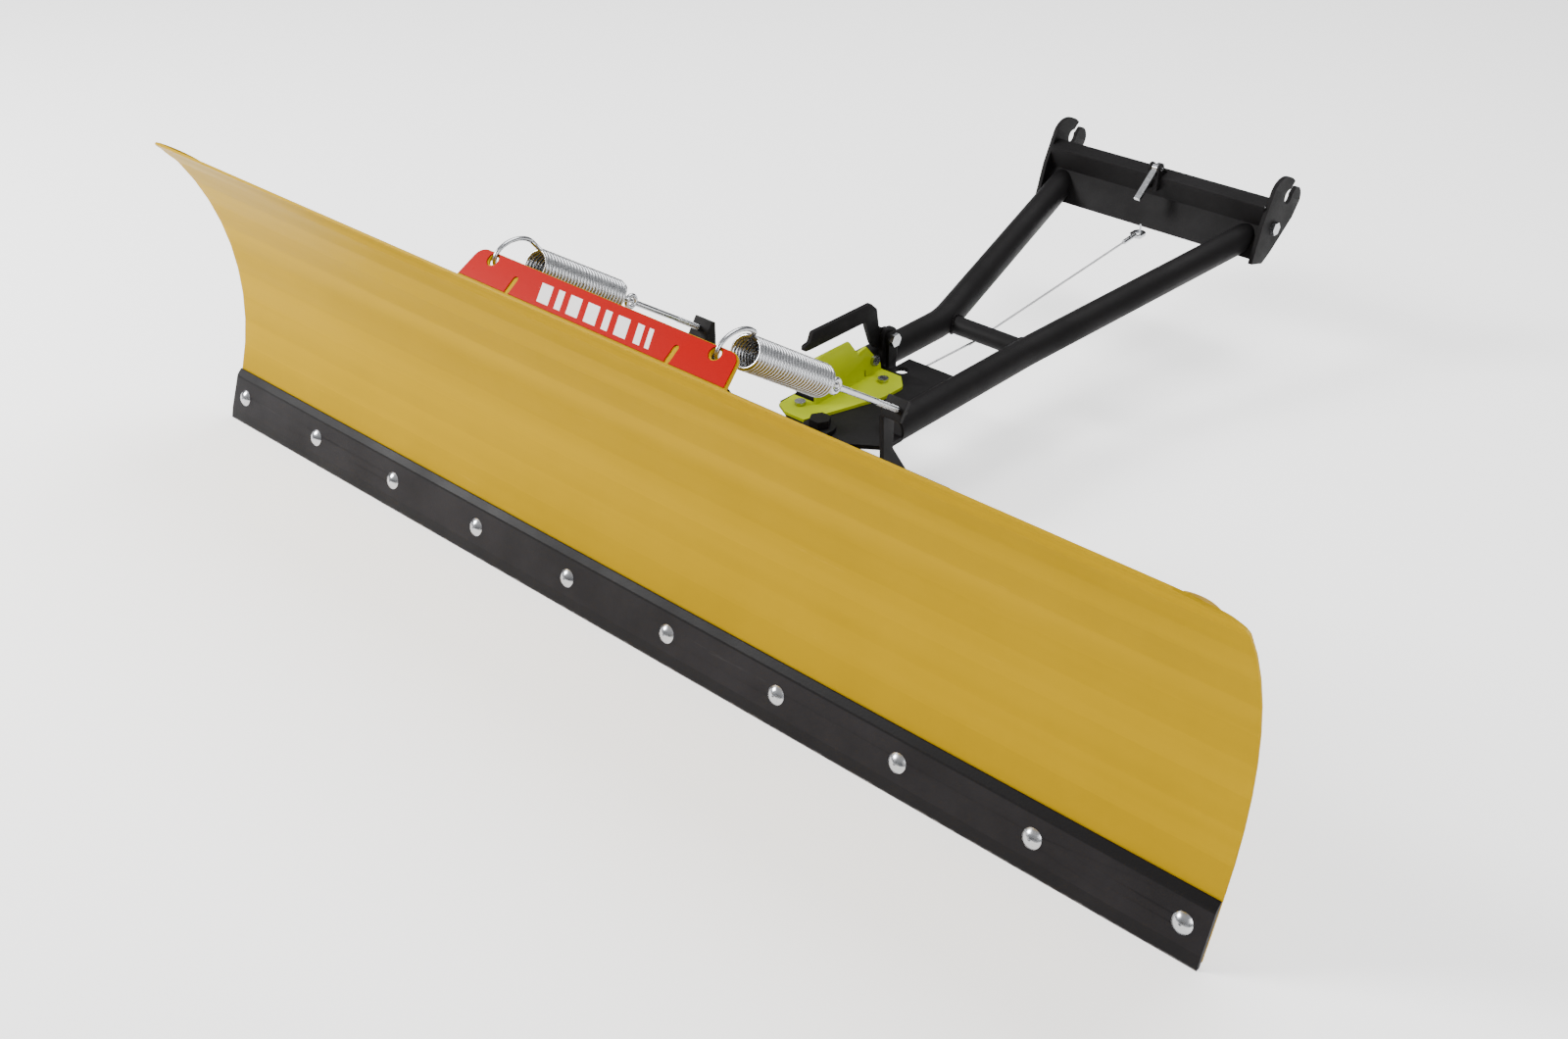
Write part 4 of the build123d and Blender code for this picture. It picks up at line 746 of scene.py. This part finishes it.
class PLOW_OT_moldboard(bpy.types.Operator):
    """Build the bent sheet with its press-brake flats and cut corners"""

    bl_idname = "plow.moldboard"
    bl_label = "Moldboard"

    def execute(self, context):
        size = context.scene.plow_moldboard
        front_line, back_line, top_way = sheet_lines(size)
        fine_from = len(front_line) - 2
        front = rounded_rows(front_line, fine_from)
        back = rounded_rows(back_line, fine_from)
        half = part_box("moldboard")[1].x
        reach = corner_reach(half, size.corner)
        columns = SHEET_COLUMNS
        bm = bmesh.new()
        # each face keeps its flat's painted shade, which the moldboard paint reads
        tone = bm.faces.layers.float.new(FLAT_SHADE_ATTRIBUTE)
        sheets = []
        for line in (front, back):
            grid = []
            for row in line:
                out = reach((row - front[-1]).dot(top_way))
                places = [out * (2 * k / columns - 1) for k in range(columns + 1)]
                grid.append([bm.verts.new((x, row.y, row.z)) for x in places])
            for row, (lower, upper) in enumerate(zip(grid, grid[1:])):
                reached = (line[row] - line[0]).length + FLAT_SHADE_OVERLAP
                flat = sum(reached > (bend - line[0]).length for bend in front_line[1:])
                for k in range(columns):
                    face = bm.faces.new((lower[k], lower[k + 1], upper[k + 1], upper[k]))
                    face[tone] = FLAT_PAINTED_SHADES[flat % len(FLAT_PAINTED_SHADES)]
            sheets.append(grid)
        fore, aft = sheets
        for row in range(len(front) - 1):
            for k in (0, columns):
                bm.faces.new((fore[row][k], fore[row + 1][k], aft[row + 1][k], aft[row][k]))
        for row in (0, len(front) - 1):
            for k in range(columns):
                bm.faces.new((fore[row][k], fore[row][k + 1], aft[row][k + 1], aft[row][k]))
        mesh = mesh_from("moldboard_sheet", bm, MATERIALS["yellow_paint"])
        mesh = bevelled(mesh, SHEET_EDGE, 40)
        link_mesh("moldboard_sheet", mesh, "blade", ["moldboard"])
        return {"FINISHED"}


# ---- softened CAD shapes ----

# the fold in degrees above which an edge stays crisp, and the nodes where it is another
CREASE = 20
CREASES = {"wear_bar": 3, "sign_plate": 5, "spring_bracket": 8, "crossbar": 12}

# how wide the rounded edges are, in millimetres
SOFT_EDGES = {
    "wear_bar": 0.5,
    "end_rib_left": 0.8,
    "end_rib_right": 0.8,
    "spring_bracket": 0.8,
    "sign_plate": 0.3,
    "crossbar": 1.2,
    "hook_plate_left": 0.9,
    "hook_plate_right": 0.9,
    "pivot_plate": 0.8,
    "lock_bracket": 0.7,
    "foot_lever": 0.9,
    "toe_crank": 0.6,
    "lever_lug": 0.8,
    "lock_sector": 0.6,
    "swivel_beam": 0.6,
    "spring_lug_left": 0.8,
    "spring_lug_right": 0.8,
    "trip_arm_left": 1.5,
    "trip_arm_right": 1.5,
    "swivel_strap": 0.8,
    "latch_ears": 0.6,
    "latch_lever": 0.7,
    "push_tube_left": 0.6,
    "push_tube_right": 0.6,
    "cross_tube": 0.3,
}


class PLOW_OT_soft_edges(bpy.types.Operator):
    """Round the sharp edges of the plates, bars and tubes"""

    bl_idname = "plow.soft_edges"
    bl_label = "Plates, bars and tubes"

    def execute(self, context):
        for node_name, width in SOFT_EDGES.items():
            mesh = softened(node_name, width * MM, CREASES.get(node_name, CREASE))
            body = frame["nodes"][node_name]["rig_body"]
            link_mesh(f"{node_name}_soft", mesh, body, [node_name])
        return {"FINISHED"}


# ---- springs ----

SPRING_SLOPE = math.radians(-33.6)
EYE_RING_OUTER = 9.8 * MM
EYE_BELOW_COIL = 26 * MM  # from the coil's lower end to the middle of the eyebolt's ring
BRACKET_ANGLE = math.radians(35.9)
BRACKET_T = 4 * MM
HOLE_INSET = 9 * MM  # from the bracket's back edge to the middle of a hole
HOLE_X = 163 * MM
HOOK_TURNS = range(205, 15, -10)  # the hook's arc in degrees, from its free end to the coil's rim
HOOK_FLATNESS = 0.6
COIL_SIDES = 22
LOOP_R = 6 * MM
LOOP_ABOVE_EYE = 6.8 * MM
LOOP_STEPS = 18
LOOP_TURN = 2 * math.pi * 0.93
LOOP_PITCH = 1.5 * MM

PLUNGER_WIRE = 1.6 * MM
PLUNGER_TURNS = 8
PLUNGER_SIDES = 20


def spring_frame(side_name):
    """The coil's upper end, its axis downwards and the way square to it and up."""
    low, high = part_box(f"eyebolt_{side_name}")
    down = Vector((0, math.cos(SPRING_SLOPE), math.sin(SPRING_SLOPE)))
    up = Vector((0, -math.sin(SPRING_SLOPE), math.cos(SPRING_SLOPE)))
    ring = Vector(((low.x + high.x) / 2, low.y + EYE_RING_OUTER, high.z - EYE_RING_OUTER))
    length = bpy.context.scene.plow_springs.length
    return ring - down * (length + EYE_BELOW_COIL), down, up


def bracket_hole(side):
    """The centre of the spring's hole in the bracket."""
    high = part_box("spring_bracket")[1]
    out = Vector((0, math.cos(BRACKET_ANGLE), math.sin(BRACKET_ANGLE)))
    half_t = BRACKET_T / 2
    edge = Vector((0, high.y - half_t * math.sin(BRACKET_ANGLE), high.z - half_t * math.cos(BRACKET_ANGLE)))
    hole = edge - out * HOLE_INSET
    hole.x = side * HOLE_X
    return hole


def trip_spring_line(side_name, side, size):
    """The wire's centre line: open hook, closed coil, then a small loop through the eyebolt's ring."""
    top, down, up = spring_frame(side_name)
    mean = (size.outer - size.wire) / 2
    hole = bracket_hole(side)

    def at(along, off, x=0.0):
        return top + down * along + up * off + Vector((x, 0, 0))

    rim = at(1 * MM, mean)
    rim.x = hole.x
    centre = (hole + rim) / 2
    hook_r = (hole - rim).length / 2
    first = math.atan2(rim.z - centre.z, rim.y - centre.y)
    hook = []
    for turn in HOOK_TURNS:
        angle = first + math.radians(turn)
        hook.append(centre + Vector((0, hook_r * math.cos(angle), hook_r * math.sin(angle))))
    # the hook is flatter than a half circle: squeezed towards the line from its hole to the coil's rim
    chord = (rim - hole).normalized()
    for point in hook:
        height = (point - centre) - chord * (point - centre).dot(chord)
        point -= height * (1 - HOOK_FLATNESS)
    hook.append(at(size.wire / 2, mean))
    line = curved(hook, 2)[:-1]
    count = size.turns * COIL_SIDES
    for i in range(count + 1):
        angle = 2 * math.pi * i / COIL_SIDES
        along = size.wire / 2 + (size.length - size.wire) * i / count
        line.append(at(along, mean * math.cos(angle), -side * mean * math.sin(angle)))
    end = size.length
    loop_at = end + EYE_BELOW_COIL - LOOP_ABOVE_EYE
    tail = [
        line[-1],
        at(end - 0.5 * MM, mean * 0.75, -side * mean * 0.5),
        at(end + 4 * MM, mean * 0.25, -side * mean * 0.4),
        at(loop_at - LOOP_R, 0, -side * 1 * MM),
    ]
    line += curved(tail, 6)[1:-1]
    for i in range(LOOP_STEPS + 1):
        share = i / LOOP_STEPS
        angle = math.pi + LOOP_TURN * share
        along = loop_at + LOOP_R * math.cos(angle)
        line.append(at(along, LOOP_PITCH * share, side * LOOP_R * math.sin(angle)))
    return line


class PLOW_OT_trip_springs(bpy.types.Operator):
    """Wind the two trip springs, with their hooks and end loops"""

    bl_idname = "plow.trip_springs"
    bl_label = "Trip springs"

    def execute(self, context):
        size = context.scene.plow_springs
        for side_name, side in SIDES:
            name = f"trip_spring_coils_{side_name}"
            line = trip_spring_line(side_name, side, size)
            finish = MATERIALS["spring_steel"]
            path = path_object(name, [line])
            mesh = grown(path, "wire", name, wire_radius=size.wire / 2, sides=12, finish=finish)
            piece = link_mesh(name, mesh, None, [f"trip_spring_{side_name}"])
            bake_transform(piece)
        return {"FINISHED"}


class PLOW_OT_plunger_spring(bpy.types.Operator):
    """Wind the lock plunger's compression spring"""

    bl_idname = "plow.plunger_spring"
    bl_label = "Plunger spring"

    def execute(self, context):
        low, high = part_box("plunger_spring")
        wire = PLUNGER_WIRE
        mean = (high.x - low.x) / 2 - wire / 2
        centre_x = (low.x + high.x) / 2
        centre_z = (low.z + high.z) / 2
        count = PLUNGER_TURNS * PLUNGER_SIDES
        line = []
        for i in range(count + 1):
            angle = 2 * math.pi * i / PLUNGER_SIDES
            along = low.y + wire / 2 + (high.y - low.y - wire) * i / count
            line.append(Vector((centre_x + mean * math.cos(angle), along, centre_z + mean * math.sin(angle))))
        name = "plunger_spring_coils"
        finish = MATERIALS["spring_steel"]
        mesh = grown(path_object(name, [line]), "wire", name, wire_radius=wire / 2, sides=8, finish=finish)
        piece = link_mesh(name, mesh, None, ["plunger_spring"])
        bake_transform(piece)
        return {"FINISHED"}


# ---- release cable ----

CABLE_TURN = (-20 * MM, 690 * MM, 103.3 * MM)
CABLE_R = 1.5 * MM
STRAND_R = 0.55 * MM
STRANDS = 6
LAY = 16 * MM
SAMPLE_STEP = 1.6 * MM


def cable_samples(line):
    """Points spaced evenly on each stretch, each with its direction and its distance from the start."""
    samples = []
    travelled = 0.0
    for previous, point in zip(line, line[1:]):
        run = (point - previous).length
        pieces = max(1, round(run / SAMPLE_STEP))
        way = (point - previous).normalized()
        for k in range(pieces):
            samples.append((previous.lerp(point, k / pieces), way, travelled + run * k / pieces))
        travelled += run
    return samples + [(line[-1], way, travelled)]


class PLOW_OT_cable(bpy.types.Operator):
    """Twist the release cable's strands along its route"""

    bl_idname = "plow.cable"
    bl_label = "Release cable"

    def execute(self, context):
        low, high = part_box("release_cable")
        front = Vector((low.x + CABLE_R, low.y, low.z + CABLE_R))
        turn = Vector(CABLE_TURN)
        back = Vector((high.x - CABLE_R, high.y, high.z - CABLE_R))
        route = [front, front.lerp(turn, 0.9), turn.lerp(back, 0.05), back]
        samples = cable_samples(curved(route, 60))
        strands = [[] for _ in range(STRANDS)]
        for centre, way, along in samples:
            side = way.cross(Vector((0, 0, 1))).normalized()
            up = side.cross(way)
            for n in range(STRANDS):
                angle = 2 * math.pi * (along / LAY + n / STRANDS)
                offset = side * math.cos(angle) + up * math.sin(angle)
                strands[n].append(centre + offset * (CABLE_R - STRAND_R))
        lines = strands + [[sample[0] for sample in samples]]
        name = "release_cable_strands"
        finish = MATERIALS["cable_steel"]
        mesh = grown(path_object(name, lines), "wire", name, wire_radius=STRAND_R, sides=6, finish=finish)
        link_mesh(name, mesh, "lock_plunger", ["release_cable"])
        return {"FINISHED"}


# ---- sign bars ----

SIGN_T = 1.2 * MM
SIGN_MARGIN = 10 * MM  # from the plate's back edge to the bars
SIGN_BARS = ((-74, 17), (-48, 9), (-30, 17), (-4, 17), (22, 9), (40, 17), (68, 9), (84, 6))  # left end, width
BAR_HIGH = 21 * MM
BAR_SLANT = 8 * MM
BAR_RAISED = 0.15 * MM


class PLOW_OT_sign(bpy.types.Operator):
    """Lay plain white slanted bars on the red plate"""

    bl_idname = "plow.sign"
    bl_label = "Sign bars"

    def execute(self, context):
        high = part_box("sign_plate")[1]
        out = Vector((0, math.cos(BRACKET_ANGLE), math.sin(BRACKET_ANGLE)))
        up = Vector((0, -math.sin(BRACKET_ANGLE), math.cos(BRACKET_ANGLE)))
        edge = Vector((0, high.y - SIGN_T * math.sin(BRACKET_ANGLE), high.z))
        base = edge - out * (SIGN_MARGIN + BAR_HIGH)
        bm = bmesh.new()
        for start, width in SIGN_BARS:
            left = start * MM
            right = (start + width) * MM
            corners = [(left, 0), (right, 0), (right - BAR_SLANT, BAR_HIGH), (left - BAR_SLANT, BAR_HIGH)]
            flat = [Vector((x, 0, 0)) + base + out * v for x, v in corners]
            lower = [bm.verts.new(corner) for corner in flat]
            upper = [bm.verts.new(corner + up * BAR_RAISED) for corner in flat]
            bm.faces.new(lower)
            bm.faces.new(upper)
            for k in range(4):
                n = (k + 1) % 4
                bm.faces.new((lower[k], lower[n], upper[n], upper[k]))
        mesh = mesh_from("sign_bars", bm, MATERIALS["sign_white"])
        link_mesh("sign_bars", mesh, "blade")
        return {"FINISHED"}


# ---- welds ----

WELD_R = 2.0 * MM
WELD_PITCH = 2.2 * MM
PROUD = 0.5 * MM  # how far a bead's middle stands off the steel
FINE_PROUD = 0.4 * MM  # the same on the ribs and on the round push tubes
PUSH_TUBE_R = 19 * MM
PUSH_TUBE_X = 68 * MM
PUSH_TUBE_Z = 120 * MM
PLATE_WELD_X = 49.4 * MM
PLATE_WELD_Y = (412 * MM, 528 * MM)
LUG_T = 6 * MM

# the stretches of the sheet's back, counted in bends from its foot, that each rib is welded to
RIB_WELDS = [(f"hinge_rib_{side}_{place}", 2, 5) for side, _ in SIDES for place in ("inner", "outer")]
RIB_WELDS += [(f"end_rib_{side}", 3, 10) for side, _ in SIDES]


def cross_tube_welds():
    """Where the cross tube meets the round push tubes."""
    low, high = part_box("cross_tube")
    radius = (high.z - low.z) / 2 + PROUD
    centre_y = (low.y + high.y) / 2
    centre_z = (low.z + high.z) / 2
    lines = []
    for side in (-1, 1):
        line = []
        for i in range(33):
            angle = 2 * math.pi * i / 32
            z = centre_z + radius * math.sin(angle)
            x = PUSH_TUBE_X - math.sqrt(PUSH_TUBE_R ** 2 - (z - PUSH_TUBE_Z) ** 2) - FINE_PROUD
            line.append(Vector((side * x, centre_y + radius * math.cos(angle), z)))
        lines.append(line)
    return lines


def plate_welds():
    """Where the push tubes lie on the pivot plate, along their inner sides."""
    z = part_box("pivot_plate")[1].z + PROUD
    return [[Vector((side * PLATE_WELD_X, y, z)) for y in PLATE_WELD_Y] for side in (-1, 1)]


def beam_welds():
    """Where the spring lugs and the trip arms stand on the swivel beam."""
    low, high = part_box("swivel_beam")
    lines = []
    for side_name, side in SIDES:
        lug_low, lug_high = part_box(f"spring_lug_{side_name}")
        inner = lug_low.x if side > 0 else lug_high.x
        for x in (inner - side * PROUD, inner + side * (LUG_T + PROUD)):
            lines.append([Vector((x, low.y + 5 * MM, high.z)), Vector((x, high.y - 26 * MM, high.z))])
        arm_low, arm_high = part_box(f"trip_arm_{side_name}")
        for x in (arm_low.x - PROUD, arm_high.x + PROUD):
            lines.append([Vector((x, low.y, low.z + 6 * MM)), Vector((x, low.y, high.z - 3 * MM))])
    return lines


def rib_welds(size):
    """Where the ribs stand on the back of the sheet."""
    back = sheet_lines(size)[1]
    lines = []
    for node_name, first, last in RIB_WELDS:
        low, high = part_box(node_name)
        for x in (low.x - FINE_PROUD, high.x + FINE_PROUD):
            lines.append([Vector((x, point.y + FINE_PROUD, point.z)) for point in back[first:last]])
    return lines


class PLOW_OT_welds(bpy.types.Operator):
    """Lay weld beads where the frame's tubes, plates and lugs meet"""

    bl_idname = "plow.welds"
    bl_label = "Welds"

    def execute(self, context):
        sets = (
            ("frame_welds", "push_frame", "black_paint", cross_tube_welds() + plate_welds()),
            ("beam_welds", "swivel", "black_paint", beam_welds()),
            ("rib_welds", "blade", "yellow_paint", rib_welds(context.scene.plow_moldboard)),
        )
        for name, body, slot, lines in sets:
            finish = MATERIALS["weld" if slot == "black_paint" else slot]
            path = path_object(name, lines)
            mesh = grown(path, "beads", name, bead_radius=WELD_R, pitch=WELD_PITCH, finish=finish)
            link_mesh(name, mesh, body)
        return {"FINISHED"}


# ---- threads ----

THREAD_PITCH = 1.0 * MM
THREAD_SIDES = 14
CREST_R = 0.35 * MM
ROD_THREAD_R = 3.4 * MM
PIN_THREAD_R = 7.9 * MM
LUG_BELOW_EYE = 128 * MM
ROD_THREADS = ((-42 * MM, 41), (13 * MM, 2))  # where each starts, from the lug's front face, and its turns
PIN_THREAD_FROM = 0.4 * MM
PIN_THREAD_TURNS = 2


def helix(start, way, radius, turns):
    """Points of a thread's crest that begins at start and runs along way, a unit vector square to X."""
    first = way.cross(Vector((1, 0, 0)))
    second = way.cross(first)
    points = []
    for i in range(turns * THREAD_SIDES + 1):
        angle = 2 * math.pi * i / THREAD_SIDES
        out = first * math.cos(angle) + second * math.sin(angle)
        points.append(start + way * (THREAD_PITCH * i / THREAD_SIDES) + out * radius)
    return points


class PLOW_OT_threads(bpy.types.Operator):
    """Wind thread crests round the eyebolts' rods and the king pin's foot"""

    bl_idname = "plow.threads"
    bl_label = "Threads"

    def execute(self, context):
        lug_at = context.scene.plow_springs.length + EYE_BELOW_COIL + LUG_BELOW_EYE
        lines = []
        for side_name, _ in SIDES:
            top, down, _ = spring_frame(side_name)
            for start, turns in ROD_THREADS:
                lines.append(helix(top + down * (lug_at + start), down, ROD_THREAD_R, turns))
        low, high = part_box("king_pin")
        foot = Vector((0, (low.y + high.y) / 2, low.z + PIN_THREAD_FROM))
        lines.append(helix(foot, Vector((0, 0, 1)), PIN_THREAD_R, PIN_THREAD_TURNS))
        name = "thread_crests"
        finish = MATERIALS["zinc"]
        mesh = grown(path_object(name, lines), "wire", name, wire_radius=CREST_R, sides=5, finish=finish)
        link_mesh(name, mesh, "swivel")
        return {"FINISHED"}


# ---- stage ----

# name, place and aim in metres, size in metres, power in watts
LIGHTS = (
    ("key_light", (-2.6, -1.6, 2.2), (-0.3, 0.1, 0.1), 1.2, 230),
    ("top_light", (0.0, 1.6, 3.2), (0, 0.3, 0), 2.2, 110),
    ("side_light", (2.8, -0.6, 1.6), (0, 0.3, 0.1), 1.4, 45),
)
FLOOR_HALF = 12.0
SKY_LOW = (0.16, 0.16, 0.17)
SKY_HIGH = (0.95, 0.95, 0.95)
SKY_STRENGTH = 0.65


def area_light(name, place, aim, size, power):
    """A square soft light at a place, facing a point."""
    light = bpy.data.lights.new(name, "AREA")
    light.size = size
    light.energy = power
    lamp = bpy.data.objects.new(name, light)
    bpy.context.scene.collection.objects.link(lamp)
    lamp.location = place
    lamp.rotation_euler = (Vector(aim) - Vector(place)).to_track_quat("-Z", "Y").to_euler()


class PLOW_OT_stage(bpy.types.Operator):
    """Set the camera, the pale floor, the soft lights and the surroundings"""

    bl_idname = "plow.stage"
    bl_label = "Stage"

    def execute(self, context):
        setting = context.scene.plow_stage
        lens = bpy.data.cameras.new("camera")
        lens.lens = setting.lens
        lens.sensor_width = 36.0
        lens.clip_end = 50.0
        camera = bpy.data.objects.new("camera", lens)
        context.scene.collection.objects.link(camera)
        camera.location = setting.place
        camera.rotation_euler = setting.turn
        context.scene.camera = camera

        bm = bmesh.new()
        bmesh.ops.create_grid(bm, x_segments=1, y_segments=1, size=FLOOR_HALF)
        material, tree, shader, coordinates = start_material("pale_floor")
        tone = noise(tree, coordinates, 2.0, 2.0)
        pale = tuple(setting.floor)
        tree.links.new(mixed(tree, tone, scaled(pale, 0.995), pale), shader.inputs["Base Color"])
        shader.inputs["Roughness"].default_value = 0.9
        shader.inputs["Specular IOR Level"].default_value = 0.05
        shader.inputs["Emission Color"].default_value = (1.0, 1.0, 1.0, 1.0)
        shader.inputs["Emission Strength"].default_value = setting.glow
        mesh = mesh_from("floor", bm, material)
        floor = bpy.data.objects.new("floor", mesh)
        context.scene.collection.objects.link(floor)

        for light in LIGHTS:
            area_light(*light)
        world = bpy.data.worlds.new("studio")
        context.scene.world = world
        world.use_nodes = True
        sky = world.node_tree
        direction = sky.nodes.new("ShaderNodeTexCoord").outputs["Generated"]
        split = sky.nodes.new("ShaderNodeSeparateXYZ")
        sky.links.new(direction, split.inputs["Vector"])
        shade = mixed(sky, ramp(sky, split.outputs["Z"], 0.1, 0.75), SKY_LOW, SKY_HIGH)
        sky.links.new(shade, sky.nodes["Background"].inputs["Color"])
        sky.nodes["Background"].inputs["Strength"].default_value = SKY_STRENGTH
        return {"FINISHED"}


# ---- panel and registration ----

SETTINGS = {
    "plow_finish": PLOW_PG_finish,
    "plow_moldboard": PLOW_PG_moldboard,
    "plow_springs": PLOW_PG_springs,
    "plow_stage": PLOW_PG_stage,
}

STEPS = (
    PLOW_OT_stage,
    PLOW_OT_finishes,
    PLOW_OT_moldboard,
    PLOW_OT_soft_edges,
    PLOW_OT_trip_springs,
    PLOW_OT_plunger_spring,
    PLOW_OT_cable,
    PLOW_OT_sign,
    PLOW_OT_welds,
    PLOW_OT_threads,
)


class PLOW_PT_panel(bpy.types.Panel):
    """The plow's building steps and settings"""

    bl_idname = "PLOW_PT_panel"
    bl_label = "Snow Plow Blade"
    bl_space_type = "VIEW_3D"
    bl_region_type = "UI"
    bl_category = "Plow"

    def draw(self, context):
        for step in STEPS:
            self.layout.operator(step.bl_idname)
        for name in SETTINGS:
            group = getattr(context.scene, name)
            box = self.layout.box()
            for field in group.bl_rna.properties:
                if field.identifier not in ("rna_type", "name"):
                    box.prop(group, field.identifier)


def register():
    for group in SETTINGS.values():
        bpy.utils.register_class(group)
    for name, group in SETTINGS.items():
        setattr(bpy.types.Scene, name, bpy.props.PointerProperty(type=group))
    for step in STEPS:
        bpy.utils.register_class(step)
    bpy.utils.register_class(PLOW_PT_panel)


def unregister():
    bpy.utils.unregister_class(PLOW_PT_panel)
    for step in reversed(STEPS):
        bpy.utils.unregister_class(step)
    for name, group in SETTINGS.items():
        delattr(bpy.types.Scene, name)
        bpy.utils.unregister_class(group)


def main():
    register()
    for step in STEPS:
        area, name = step.bl_idname.split(".")
        getattr(getattr(bpy.ops, area), name)()


if __name__ == "__main__":
    main()
